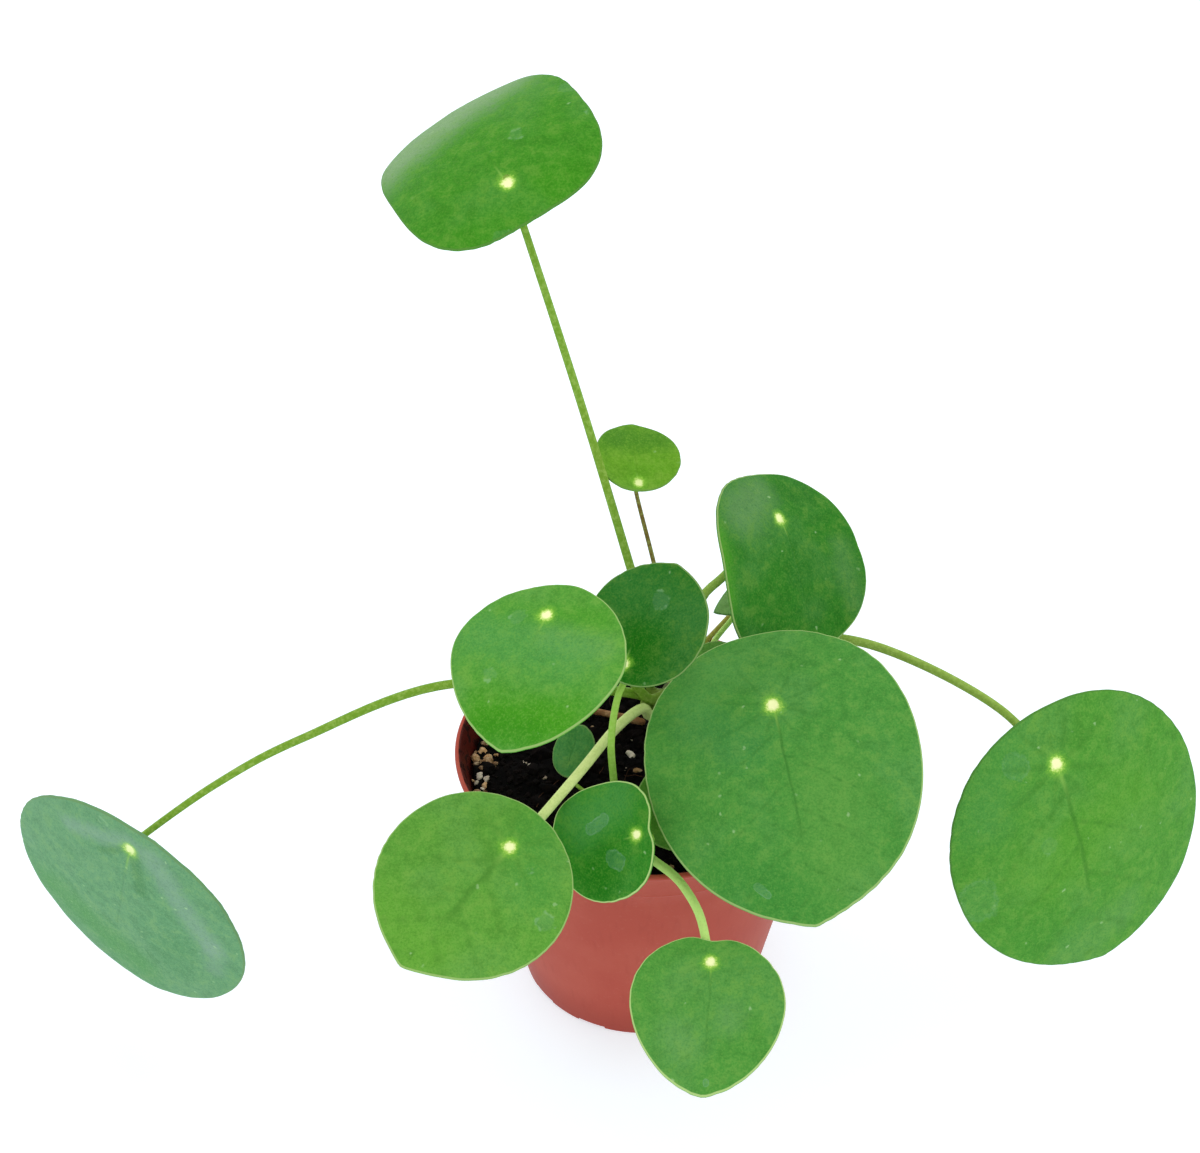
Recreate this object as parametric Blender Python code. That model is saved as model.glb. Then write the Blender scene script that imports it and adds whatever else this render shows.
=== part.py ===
"""Potted pilea: a money plant with round peltate leaves in a small plastic nursery pot.

The pot, the soil, two stems, one dry fallen stalk and sixteen leaves are each one closed solid.
A leaf is its stalk and its blade grown together. The stalks start just clear of their stem, which
stands in a plain hole in the soil. Lengths are in metres, +Z is up, and the origin is the middle
of the pot's underside.
"""

from __future__ import annotations

import math
import random
from dataclasses import dataclass

import bmesh
import bpy
from mathutils import Matrix, Vector

MM = 0.001
GAP = 0.3 * MM

# Pot
POT_HEIGHT = 75 * MM
RIM_RADIUS = 50 * MM
FOOT_RADIUS = 33 * MM
WALL = 1.3 * MM
FLOOR = 2.5 * MM
FLOOR_FILLET = 1.5 * MM
COLLAR_HEIGHT = 10 * MM
COLLAR_STEP = 0.7 * MM
LIP_THICKNESS = 1.6 * MM
FOOT_RING_WIDTH = 5 * MM
FOOT_EDGE = 0.6 * MM
PAD_RADIUS = 10 * MM
UNDERSIDE_RECESS = 1 * MM
CUT_REACH = 3
NOTCHES = 12
NOTCH_WIDTH = 8 * MM
NOTCH_START = 0.15
DRAIN_HOLES = 6
DRAIN_RADIUS = 3 * MM
DRAIN_CIRCLE = 19 * MM
HOLE_SIDES = 16
POT_SIDES = 64
LIP_STEPS = 6
LIP_START = -60
LIP_SWEEP = 210

# Soil
SOIL_TOP = 68 * MM
SOIL_SIDES = 40
SOIL_RINGS = 7
SOIL_ROUGHNESS = 0.9 * MM
SOIL_SEED = 7
STEM_HOLE_DEPTH = 22 * MM
STEM_HOLE_RISE = 10 * MM

# Stems
STEM_SIDES = 14
STEM_STEPS = 8
SCAR_DEPTH = 0.25
SHOULDER = 0.96
CROWN_SHARE = 0.6

# Dry stalk that lies on the soil
DRY_STALK_ENDS = ((-16 * MM, 20 * MM), (0.5 * MM, 14.5 * MM))
DRY_STALK_RADIUS = 1.1 * MM
DRY_STALK_SIDES = 10

# Leaves
BLADE_THICKNESS = 0.8 * MM
STALK_SIDES = 8
STALK_STEP = 9 * MM
STALK_CLEARANCE = 0.6
STALK_LEAD = 2.5
CURVE_STEPS = 12
LARGE_LEAF = 25
SMALL_SIDES = 24
LARGE_SIDES = 32
SMALL_RINGS = (0.5, 1.0)
LARGE_RINGS = (0.36, 0.7, 1.0)
MARGIN_BEVEL = 0.15
POINT_SPREAD = 0.35
CLEFT_SPREAD = 0.2


@dataclass(frozen=True)
class Stem:
    """An upright stem: its place, its height above the ground and its radii at soil and top."""

    name: str
    x: float
    y: float
    top: float
    radius_low: float
    radius_top: float
    color: tuple[float, float, float]


@dataclass(frozen=True)
class Leaf:
    """One leaf. Places and sizes are in millimetres, angles in degrees.

    leaves_at: direction round the stem and height at which the stalk starts.
    route: points that the stalk passes on its way to the blade.
    umbo: point of the upper face above the stalk's end.
    facing: azimuth and elevation in which the upper face looks.
    turn: how far the tip is turned from the blade's straight downhill direction.
    umbo_share: distance from the rear edge to the umbo, as a share of the length.
    sag: how far the blade drops below the umbo's plane at half its width, at half its length, and
        on one diagonal at both.
    squareness: how far the outline departs from an ellipse; 0 is an ellipse.
    lean: how far the blade's middle lies to one side of the umbo.
    point: how far the tip stands out of the round outline.
    cleft: how far the outline dips where it crosses the stalk behind the umbo.
    """

    name: str
    stem: str
    leaves_at: tuple[float, float]
    route: tuple[tuple[float, float, float], ...]
    umbo: tuple[float, float, float]
    facing: tuple[float, float]
    turn: float
    length: float
    width: float
    umbo_share: float
    sag: tuple[float, float, float]
    squareness: float
    stalk_radius: tuple[float, float]
    color: tuple[float, float, float]
    lean: float = 0.0
    point: float = 0.0
    cleft: float = 0.0


STEMS = {
    "main": Stem("stem_main", 8, 5, 90, 4.5, 3.6, (0.20, 0.13, 0.06)),
    "pup": Stem("stem_pup", -5, -26, 74, 2.6, 2.2, (0.22, 0.30, 0.08)),
}

GREEN = (0.10, 0.30, 0.05)
DEEP_GREEN = (0.04, 0.17, 0.03)
BLUE_GREEN = (0.13, 0.33, 0.12)

LEAVES = (
    Leaf("leaf_top", "main", (150, 87), ((2, 9, 101), (-4, 12, 124), (-17, 16, 173)),
         (-33, 20, 228), (-115, 59), -129, 52, 51.5, 0.22, (2.4, 7.3, -0.6), 1.0, (1.3, 0.9), GREEN,
         lean=0.5, point=1.0),
    Leaf("leaf_small_top", "main", (95, 90), ((7, 12, 100), (2, 14, 124)),
         (-2, 15, 148), (-71, 67), 168, 20.5, 21.5, 0.11, (-1.4, 0.5, 0.7), 0.1, (0.7, 0.55), GREEN,
         lean=0.6, point=1.3),
    Leaf("leaf_far_left", "main", (182, 84),
         ((-4, 2, 91), (-50, -8, 102), (-87, -20, 94), (-108, -28, 86)),
         (-129, -40, 75), (-118, -4), -21, 73, 72, 0.12, (3.4, 1.9, 1.0), 0.0, (1.45, 0.9),
         BLUE_GREEN, lean=-1.4),
    Leaf("leaf_mid_left", "main", (205, 89), ((-5, -1, 99), (-19, -12, 118), (-25, -28, 137)),
         (-24, -40, 149), (-134, 72), 18, 42.5, 43, 0.23, (0, 2.9, 0.2), -0.25, (1.3, 1.0), GREEN,
         lean=-2.7, point=1.3),
    Leaf("leaf_upper_right", "main", (60, 88),
         ((12, 12, 98), (12.8, 12.8, 107), (15.2, 14.2, 113.8), (20.2, 17.4, 117.2), (26, 23.5, 120.2)),
         (35, 30, 127), (-28, 48), -25, 48, 49, 0.28, (-0.6, 5.1, 4.2), 0.6, (1.3, 1.0), GREEN,
         lean=1.0, point=1.3),
    Leaf("leaf_dark_centre", "pup", (150, 71), ((-8, -27, 80), (-9, -29, 100), (-7.5, -27, 113)),
         (-6, -25, 122), (-122, 50), 179, 31, 32, 0.14, (-1.1, 0.2, -0.7), 0.0, (1.0, 0.85),
         DEEP_GREEN, lean=1.3, point=1.4),
    Leaf("leaf_far_right", "main", (20, 84),
         ((26, 15.2, 90), (41, 20.5, 94), (57, 20.2, 93.6), (75, 9.4, 93), (92, -5, 90.6)),
         (104, -20, 86), (-70, 27), 11, 74, 74.5, 0.20, (6.1, 5.3, 0.1), 0.1, (1.4, 1.1), GREEN,
         lean=-3.3, point=3.4),
    Leaf("leaf_big_centre", "main", (-45, 84), ((14, -7, 88), (21, -16, 97)),
         (30.5, -26, 110.5), (-113, 68), 29, 72, 67, 0.31, (2.4, 6.7, -0.2), 0.15, (1.5, 1.2), GREEN,
         lean=0.3, point=4.0),
    Leaf("leaf_lower_left", "main", (215, 84), ((-1, -2, 89), (-8, -14, 92), (-17, -33, 94)),
         (-33, -60, 95), (-72, 67), -55, 46.5, 47, 0.24, (2.1, 1.6, 0.9), 0.0, (1.4, 1.25), GREEN,
         lean=0.8, point=3.3),
    Leaf("leaf_front_small", "pup", (-50, 71), ((-3, -34, 76), (-1, -45, 81), (0.5, -51, 88)),
         (-3, -56, 95), (-142, 35), -44, 29.5, 28.5, 0.17, (1.6, -0.7, -1.7), 0.4, (0.9, 0.75),
         DEEP_GREEN, lean=0.7),
    Leaf("leaf_front_low", "pup", (-115, 71),
         ((-5, -36, 74), (1.5, -46, 77), (7, -54, 78.5), (11, -61.5, 77.5), (13, -67, 75)),
         (14.5, -76, 73), (-94, 73), -2, 36, 36.5, 0.20, (-1.9, 3.8, 0), -0.1, (1.2, 1.1), GREEN,
         point=1.0, cleft=1.6),
    Leaf("leaf_tiny", "pup", (120, 71), ((-12, -19, 72.5), (-18, -13, 72.5)),
         (-20.3, -11, 76), (-110, 45), 175, 14, 11, 0.15, (0.3, 0.3, 0), 0.0, (0.6, 0.5), DEEP_GREEN,
         point=0.4),
    Leaf("leaf_under_big", "pup", (30, 71), ((0, -26, 78),),
         (6, -34, 86.5), (-90, 50), 0, 21, 18, 0.42, (0.3, 0.5, 0), 0.0, (0.8, 0.7), GREEN, point=0.5),
    Leaf("leaf_crown", "main", (0, 88), ((14, 6, 90),),
         (19, 7, 96.5), (-80, 50), 0, 14, 15, 0.45, (0.3, 0.5, 0), 0.0, (0.7, 0.6), DEEP_GREEN,
         point=0.4),
    Leaf("leaf_behind_low", "main", (70, 80), ((12.5, 15, 84), (18.7, 24, 90.5), (24, 29.5, 94.5)),
         (27, 30, 101), (-60, 55), -85, 20, 10, 0.5, (0.3, 0.5, 0), -0.75, (0.9, 0.7), GREEN),
    Leaf("leaf_behind_high", "main", (105, 82),
         ((9, 19, 85), (17, 27, 88.7), (23.2, 34, 91.3), (31, 43, 94.5)),
         (38, 47, 100), (-50, 60), 0, 12, 11, 0.35, (0.3, 0.4, 0), 0.0, (0.8, 0.6), GREEN),
)


def clear_scene() -> None:
    """Removes every object that the scene already holds."""
    for old in list(bpy.data.objects):
        bpy.data.objects.remove(old, do_unlink=True)


def material(name: str, color: tuple[float, float, float], roughness: float) -> bpy.types.Material:
    """Makes a plain Principled material of one colour."""
    made = bpy.data.materials.new(name)
    made.use_nodes = True
    shader = made.node_tree.nodes["Principled BSDF"]
    shader.inputs["Base Color"].default_value = (*color, 1.0)
    shader.inputs["Roughness"].default_value = roughness
    shader.inputs["Metallic"].default_value = 0.0
    return made


def link(name: str, mesh: bpy.types.Mesh, surface: bpy.types.Material | None) -> bpy.types.Object:
    """Puts a mesh into the scene as one smooth-shaded object."""
    made = bpy.data.objects.new(name, mesh)
    bpy.context.scene.collection.objects.link(made)
    mesh.shade_smooth()
    mesh.set_sharp_from_angle(angle=math.radians(35))
    if surface:
        mesh.materials.append(surface)
    return made


def close_skin(name: str, work: bmesh.types.BMesh) -> bpy.types.Mesh:
    """Turns a closed bmesh with consistent faces into a mesh whose faces point out."""
    bmesh.ops.recalc_face_normals(work, faces=work.faces)
    mesh = bpy.data.meshes.new(name)
    work.to_mesh(mesh)
    work.free()
    return mesh


def turned(name: str, profile: list[tuple[float, float]], sides: int) -> bpy.types.Mesh:
    """Turns a profile of (radius, height) that starts and ends on the axis about +Z."""
    work = bmesh.new()
    first = work.verts.new((0, 0, profile[0][1]))
    last = work.verts.new((0, 0, profile[-1][1]))
    rings = []
    for radius, height in profile[1:-1]:
        angles = [math.tau * i / sides for i in range(sides)]
        rings.append([work.verts.new((radius * math.cos(a), radius * math.sin(a), height))
                      for a in angles])
    for i in range(sides):
        j = (i + 1) % sides
        work.faces.new((first, rings[0][j], rings[0][i]))
        work.faces.new((last, rings[-1][i], rings[-1][j]))
        for low, high in zip(rings, rings[1:]):
            work.faces.new((low[i], low[j], high[j], high[i]))
    return close_skin(name, work)


def cut(target: bpy.types.Object, cutter: bpy.types.Object) -> None:
    """Subtracts a hidden cutter from an object."""
    cutter.hide_render = True
    cutter.display_type = "WIRE"
    boolean = target.modifiers.new(f"cut_{cutter.name}", "BOOLEAN")
    boolean.operation = "DIFFERENCE"
    boolean.solver = "EXACT"
    boolean.object = cutter


def outer_radius(height: float) -> float:
    """The radius of the pot's tapered outer wall below its collar."""
    body_top = RIM_RADIUS - LIP_THICKNESS / 2 - COLLAR_STEP
    return FOOT_RADIUS + (body_top - FOOT_RADIUS) * height / POT_HEIGHT


def build_pot() -> None:
    """The nursery pot: tapered wall, shallow collar, rolled lip, notched foot and drain holes."""
    collar = POT_HEIGHT - COLLAR_HEIGHT
    lip_low = POT_HEIGHT - LIP_THICKNESS
    inner_top = RIM_RADIUS - LIP_THICKNESS - WALL / 2
    rim = RIM_RADIUS - LIP_THICKNESS / 2
    profile = [
        (0, 0),
        (PAD_RADIUS, 0),
        (PAD_RADIUS + UNDERSIDE_RECESS, UNDERSIDE_RECESS),
        (FOOT_RADIUS - FOOT_RING_WIDTH - UNDERSIDE_RECESS, UNDERSIDE_RECESS),
        (FOOT_RADIUS - FOOT_RING_WIDTH, 0),
        (FOOT_RADIUS - FOOT_EDGE, 0),
        (FOOT_RADIUS, FOOT_EDGE),
        (outer_radius(collar), collar),
        (outer_radius(collar) + COLLAR_STEP, collar + COLLAR_STEP),
        (rim, lip_low - GAP),
    ]
    for step in range(LIP_STEPS + 1):
        angle = math.radians(LIP_START + LIP_SWEEP * step / LIP_STEPS)
        profile.append((rim + LIP_THICKNESS / 2 * math.cos(angle),
                        POT_HEIGHT - LIP_THICKNESS / 2 + LIP_THICKNESS / 2 * math.sin(angle)))
    profile += [
        (inner_top, lip_low - 2 * GAP),
        (outer_radius(collar) + COLLAR_STEP - WALL, collar + COLLAR_STEP),
        (outer_radius(collar) - WALL, collar - COLLAR_STEP),
        (outer_radius(FLOOR) - WALL, FLOOR + FLOOR_FILLET),
        (outer_radius(FLOOR) - WALL - FLOOR_FILLET, FLOOR),
        (0, FLOOR),
    ]
    pot = link("pot", turned("pot", profile, POT_SIDES), material("pot", (0.48, 0.11, 0.08), 0.45))

    work = bmesh.new()
    for i in range(NOTCHES):
        place = Matrix.Rotation(math.tau * (i + NOTCH_START) / NOTCHES, 4, "Z")
        place @= Matrix.Translation((FOOT_RADIUS, 0, 0))
        place @= Matrix.Diagonal((CUT_REACH * FOOT_RING_WIDTH, NOTCH_WIDTH, 2 * UNDERSIDE_RECESS, 1))
        bmesh.ops.create_cube(work, size=1, matrix=place)
    for i in range(DRAIN_HOLES):
        angle = math.tau * i / DRAIN_HOLES
        place = Matrix.Translation((DRAIN_CIRCLE * math.cos(angle), DRAIN_CIRCLE * math.sin(angle), 0))
        bmesh.ops.create_cone(work, cap_ends=True, segments=HOLE_SIDES, radius1=DRAIN_RADIUS,
                              radius2=DRAIN_RADIUS, depth=CUT_REACH * FLOOR, matrix=place)
    mesh = bpy.data.meshes.new("pot_cutter")
    work.to_mesh(mesh)
    work.free()
    cut(pot, link("pot_cutter", mesh, None))


def build_soil() -> None:
    """The plug of soil: it fills the pot, has a crumbly top and a plain hole for each stem."""
    rng = random.Random(SOIL_SEED)
    collar = POT_HEIGHT - COLLAR_HEIGHT
    low = FLOOR + GAP
    edge = outer_radius(collar) + COLLAR_STEP - WALL - GAP
    work = bmesh.new()
    rings = []
    for radius, height in (
        (outer_radius(FLOOR) - WALL - FLOOR_FILLET - GAP, low),
        (outer_radius(FLOOR) - WALL - GAP, low + FLOOR_FILLET),
        (outer_radius(collar) - WALL - 2 * GAP, collar - COLLAR_STEP),
        (edge, collar + COLLAR_STEP),
    ):
        rings.append(ring_of(work, radius, [height] * SOIL_SIDES))
    for i in range(SOIL_RINGS):
        share = 1 - i / SOIL_RINGS
        heights = [SOIL_TOP + rng.uniform(-1, 1) * SOIL_ROUGHNESS for _ in range(SOIL_SIDES)]
        rings.append(ring_of(work, (edge - GAP) * share, heights))
    bottom = work.verts.new((0, 0, low))
    middle = work.verts.new((0, 0, SOIL_TOP))
    for i in range(SOIL_SIDES):
        j = (i + 1) % SOIL_SIDES
        work.faces.new((bottom, rings[0][j], rings[0][i]))
        work.faces.new((middle, rings[-1][i], rings[-1][j]))
        for a, b in zip(rings, rings[1:]):
            work.faces.new((a[i], a[j], b[j]))
            work.faces.new((a[i], b[j], b[i]))
    soil = link("soil", close_skin("soil", work), material("soil", (0.02, 0.012, 0.01), 0.95))

    work = bmesh.new()
    for stem in STEMS.values():
        depth = STEM_HOLE_DEPTH + STEM_HOLE_RISE
        place = Matrix.Translation((stem.x * MM, stem.y * MM, SOIL_TOP - STEM_HOLE_DEPTH + depth / 2))
        radius = stem.radius_low * MM + 2 * GAP
        bmesh.ops.create_cone(work, cap_ends=True, segments=HOLE_SIDES, radius1=radius, radius2=radius,
                              depth=depth, matrix=place)
    mesh = bpy.data.meshes.new("stem_holes")
    work.to_mesh(mesh)
    work.free()
    cut(soil, link("stem_holes", mesh, None))


def ring_of(work: bmesh.types.BMesh, radius: float, heights: list[float]) -> list[bmesh.types.BMVert]:
    """A ring of points about +Z, one at each of the given heights."""
    made = []
    for i, height in enumerate(heights):
        angle = math.tau * i / len(heights)
        made.append(work.verts.new((radius * math.cos(angle), radius * math.sin(angle), height)))
    return made


def build_stem(stem: Stem) -> None:
    """A short upright stem with the low swellings of old leaf scars."""
    bottom = SOIL_TOP - STEM_HOLE_DEPTH + 2 * GAP
    top = stem.top * MM
    profile = [(0, bottom)]
    for i in range(STEM_STEPS + 1):
        share = i / STEM_STEPS
        radius = stem.radius_low + (stem.radius_top - stem.radius_low) * share
        scar = SCAR_DEPTH if i % 2 else 0.0
        profile.append(((radius - scar) * MM, bottom + (top - bottom) * share * SHOULDER))
    profile.append((stem.radius_top * CROWN_SHARE * MM, top))
    profile.append((0, top))
    made = link(stem.name, turned(stem.name, profile, STEM_SIDES), material(stem.name, stem.color, 0.8))
    made.location = (stem.x * MM, stem.y * MM, 0)


def build_dry_stalk() -> None:
    """The stub of an old dry leaf stalk that lies on the soil, with one rounded end."""
    (x0, y0), (x1, y1) = DRY_STALK_ENDS
    height = SOIL_TOP + SOIL_ROUGHNESS + GAP + DRY_STALK_RADIUS
    length = math.hypot(x1 - x0, y1 - y0)
    profile = [(0, 0), (DRY_STALK_RADIUS * 0.8, 0), (DRY_STALK_RADIUS * 0.9, length * 0.5),
               (DRY_STALK_RADIUS, length * 0.85), (DRY_STALK_RADIUS * 0.8, length * 0.96), (0, length)]
    mesh = turned("dry_stalk", profile, DRY_STALK_SIDES)
    made = link("dry_stalk", mesh, material("dry_stalk", (0.42, 0.24, 0.11), 0.8))
    made.location = (x0, y0, height)
    made.rotation_euler = (0, math.radians(90), math.atan2(y1 - y0, x1 - x0))


def smooth_route(points: list[Vector], step: float) -> list[Vector]:
    """Points at about equal steps along a smooth curve through the given points."""
    ends = [points[0] * 2 - points[1], *points, points[-1] * 2 - points[-2]]
    fine = []
    for a, b, c, d in zip(ends, ends[1:], ends[2:], ends[3:]):
        for i in range(CURVE_STEPS):
            t = i / CURVE_STEPS
            fine.append(0.5 * (2 * b + (c - a) * t + (2 * a - 5 * b + 4 * c - d) * t * t
                               + (3 * b - a - 3 * c + d) * t ** 3))
    fine.append(points[-1])
    lengths = [0.0]
    for a, b in zip(fine, fine[1:]):
        lengths.append(lengths[-1] + (b - a).length)
    count = max(4, round(lengths[-1] / step))
    made = []
    for i in range(count + 1):
        wanted = lengths[-1] * i / count
        k = min(next((n for n, s in enumerate(lengths) if s >= wanted - 1e-9), 1), len(fine) - 1)
        k = max(k, 1)
        share = (wanted - lengths[k - 1]) / (lengths[k] - lengths[k - 1])
        made.append(fine[k - 1].lerp(fine[k], share))
    return made


def blade_axes(leaf: Leaf) -> tuple[Vector, Vector, Vector]:
    """Unit vectors of a blade: across, towards the tip, and out of the upper face."""
    azimuth, elevation = (math.radians(a) for a in leaf.facing)
    normal = Vector((math.cos(elevation) * math.cos(azimuth),
                     math.cos(elevation) * math.sin(azimuth), math.sin(elevation)))
    downhill = Vector((math.sin(elevation) * math.cos(azimuth),
                       math.sin(elevation) * math.sin(azimuth), -math.cos(elevation)))
    turn = math.radians(leaf.turn)
    tip = downhill * math.cos(turn) + normal.cross(downhill) * math.sin(turn)
    return tip.cross(normal), tip, normal


def outline_point(leaf: Leaf, angle: float) -> tuple[float, float]:
    """The margin at an angle about the blade's middle, from its rear round by its tip."""
    power = 2 + leaf.squareness
    reach = (abs(math.sin(angle)) ** power + abs(math.cos(angle)) ** power) ** (-1 / power)
    tip = leaf.point * math.exp(-abs(angle - math.pi) / POINT_SPREAD)
    dip = leaf.cleft * math.exp(-(min(angle, math.tau - angle) / CLEFT_SPREAD) ** 2)
    x = leaf.width / 2 * math.sin(angle) * reach + leaf.lean
    y = -leaf.length / 2 * math.cos(angle) * reach + tip + dip + leaf.length * (0.5 - leaf.umbo_share)
    return x * MM, y * MM


def stalk_spine(leaf: Leaf, umbo: Vector, normal: Vector) -> list[Vector]:
    """The stalk's middle line: out of the stem, along the route and square into the blade."""
    stem = STEMS[leaf.stem]
    direction, height = leaf.leaves_at
    outward = Vector((math.cos(math.radians(direction)), math.sin(math.radians(direction)), 0))
    foot = Vector((stem.x, stem.y, height)) * MM
    under = umbo - normal * BLADE_THICKNESS
    points = [foot + outward * (stem.radius_low + STALK_CLEARANCE) * MM,
              foot + outward * (stem.radius_low + STALK_CLEARANCE + STALK_LEAD) * MM]
    points += [Vector(point) * MM for point in leaf.route]
    points += [under - normal * 5 * BLADE_THICKNESS, under - normal * 0.5 * BLADE_THICKNESS]
    return smooth_route(points, STALK_STEP)


def build_leaf(leaf: Leaf) -> None:
    """One leaf as a single skin: stalk, blade's lower face, margin and upper face."""
    large = leaf.length > LARGE_LEAF
    sides = LARGE_SIDES if large else SMALL_SIDES
    shares = LARGE_RINGS if large else SMALL_RINGS
    across, along, normal = blade_axes(leaf)
    umbo = Vector(leaf.umbo) * MM
    sag_across, sag_along, sag_diagonal = (sag * MM for sag in leaf.sag)

    def on_blade(x: float, y: float, below: float) -> Vector:
        """The place on the curved blade at (x, y) from the umbo and a distance under its top."""
        u = x / (leaf.width / 2 * MM)
        v = y / (leaf.length / 2 * MM)
        height = -sag_across * u * u - sag_along * v * v - sag_diagonal * u * v - below
        return umbo + across * x + along * y + normal * height

    spine = stalk_spine(leaf, umbo, normal)
    low, high = leaf.stalk_radius
    radii = [(low + (high - low) * i / (len(spine) - 1)) * MM for i in range(len(spine))]

    work = bmesh.new()
    tube = stalk_rings(work, spine, radii, across, normal)
    outline = [outline_point(leaf, math.tau * i / sides) for i in range(sides)]
    lower, upper = [], []
    for share in shares:
        top = 0.0 if share < 1 else BLADE_THICKNESS * MARGIN_BEVEL
        places = [(x * share, y * share) for x, y in outline]
        lower.append([work.verts.new(on_blade(x, y, BLADE_THICKNESS - top)) for x, y in places])
        upper.append([work.verts.new(on_blade(x, y, top)) for x, y in places])
    centre = work.verts.new(umbo)

    work.faces.new(tube[0])
    for a, b in zip(tube, tube[1:]):
        for i in range(STALK_SIDES):
            j = (i + 1) % STALK_SIDES
            work.faces.new((a[i], a[j], b[j], b[i]))
    per_side = sides // STALK_SIDES
    last = tube[-1]
    for i in range(STALK_SIDES):
        for k in range(per_side):
            a = lower[0][(i * per_side + k) % sides]
            b = lower[0][(i * per_side + k + 1) % sides]
            work.faces.new((last[i], a, b))
        work.faces.new((last[i], lower[0][(i + 1) * per_side % sides], last[(i + 1) % STALK_SIDES]))
    for i in range(sides):
        j = (i + 1) % sides
        for a, b in zip(lower, lower[1:]):
            work.faces.new((a[i], b[j], a[j]))
            work.faces.new((a[i], b[i], b[j]))
        for a, b in zip(upper, upper[1:]):
            work.faces.new((a[i], a[j], b[j]))
            work.faces.new((a[i], b[j], b[i]))
        work.faces.new((lower[-1][i], upper[-1][i], upper[-1][j], lower[-1][j]))
        work.faces.new((centre, upper[0][j], upper[0][i]))
    link(leaf.name, close_skin(leaf.name, work), material(leaf.name, leaf.color, 0.45))


def stalk_rings(work: bmesh.types.BMesh, spine: list[Vector], radii: list[float], across: Vector,
                normal: Vector) -> list[list[bmesh.types.BMVert]]:
    """Rings of a stalk whose sections turn smoothly and end square under the blade."""
    side = across
    frames = []
    for i in range(len(spine) - 1, -1, -1):
        ahead = spine[min(i + 1, len(spine) - 1)]
        behind = spine[max(i - 1, 0)]
        direction = normal if i == len(spine) - 1 else (ahead - behind).normalized()
        side = (side - direction * side.dot(direction)).normalized()
        frames.append((side.copy(), direction.cross(side)))
    frames.reverse()
    angles = [math.tau * k / STALK_SIDES for k in range(STALK_SIDES)]
    rings = []
    for point, radius, (side, other) in zip(spine, radii, frames):
        rings.append([work.verts.new(point + (side * math.sin(a) - other * math.cos(a)) * radius)
                      for a in angles])
    return rings


def main() -> None:
    """Builds every piece in an empty scene."""
    clear_scene()
    build_pot()
    build_soil()
    for stem in STEMS.values():
        build_stem(stem)
    build_dry_stalk()
    for leaf in LEAVES:
        build_leaf(leaf)


main()
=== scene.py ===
"""Looks of the potted pilea: finer leaves, stems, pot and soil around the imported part.

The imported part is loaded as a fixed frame, in metres. Each leaf is built again in the form that its
solid has, with more faces, veins in relief and a thin pale margin. Sizes in the classes below are
in millimetres and are turned into metres where a mesh is written. Only the studio, the relief of a
finish and the scales of its noises count in metres.
"""

from __future__ import annotations

import logging
import math
from collections.abc import Callable, Iterable
from dataclasses import dataclass, field
from enum import Enum

import bpy
import numpy as np
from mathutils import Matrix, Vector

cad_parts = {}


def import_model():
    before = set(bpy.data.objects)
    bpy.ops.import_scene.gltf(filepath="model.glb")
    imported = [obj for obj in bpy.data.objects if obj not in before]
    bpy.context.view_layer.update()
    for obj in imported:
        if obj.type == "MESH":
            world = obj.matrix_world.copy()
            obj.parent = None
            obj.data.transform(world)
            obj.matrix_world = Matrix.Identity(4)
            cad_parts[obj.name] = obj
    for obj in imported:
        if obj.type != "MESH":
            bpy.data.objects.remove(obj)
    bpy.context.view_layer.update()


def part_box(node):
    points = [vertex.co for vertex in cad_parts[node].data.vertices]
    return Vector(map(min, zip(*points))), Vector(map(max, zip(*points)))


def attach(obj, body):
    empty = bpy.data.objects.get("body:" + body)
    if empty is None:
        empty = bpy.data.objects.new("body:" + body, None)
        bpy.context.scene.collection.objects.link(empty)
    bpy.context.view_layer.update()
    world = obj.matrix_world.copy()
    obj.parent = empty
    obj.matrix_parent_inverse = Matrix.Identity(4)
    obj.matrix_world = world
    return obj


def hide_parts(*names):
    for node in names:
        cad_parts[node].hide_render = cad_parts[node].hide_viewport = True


MM = 0.001
BODY = "root"
SOIL_TOP = 68.0
LOG = logging.getLogger("pilea")

# Values of the "blade" and "skin" attributes: for pieces that don't use them, and for places on a leaf
# that are no part of its margin.
NOTHING = np.zeros(3)
AWAY_FROM_MARGIN = np.array([0, 0, 9.0])

Array = np.ndarray
Material = bpy.types.Material
Mesh = bpy.types.Mesh
Color = tuple[float, float, float]
Point = tuple[float, float, float]
Pair = tuple[float, float]
Grain = tuple[float, float, float]


def srgb(red: int, green: int, blue: int) -> Color:
    """Turns a display colour of 0 to 255 a channel into the linear colour that shaders take."""
    shares = (channel / 255 for channel in (red, green, blue))
    return tuple(s / 12.92 if s <= 0.04045 else ((s + 0.055) / 1.055) ** 2.4 for s in shares)


def mixed(color: Color, other: Color, share: float) -> Color:
    """A colour some way towards another."""
    return tuple(a + (b - a) * share for a, b in zip(color, other))


def placed(name: str, data: bpy.types.ID) -> bpy.types.Object:
    """Puts a new object with this data into the scene."""
    made = bpy.data.objects.new(name, data)
    bpy.context.scene.collection.objects.link(made)
    return made


# ---- node trees


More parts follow.
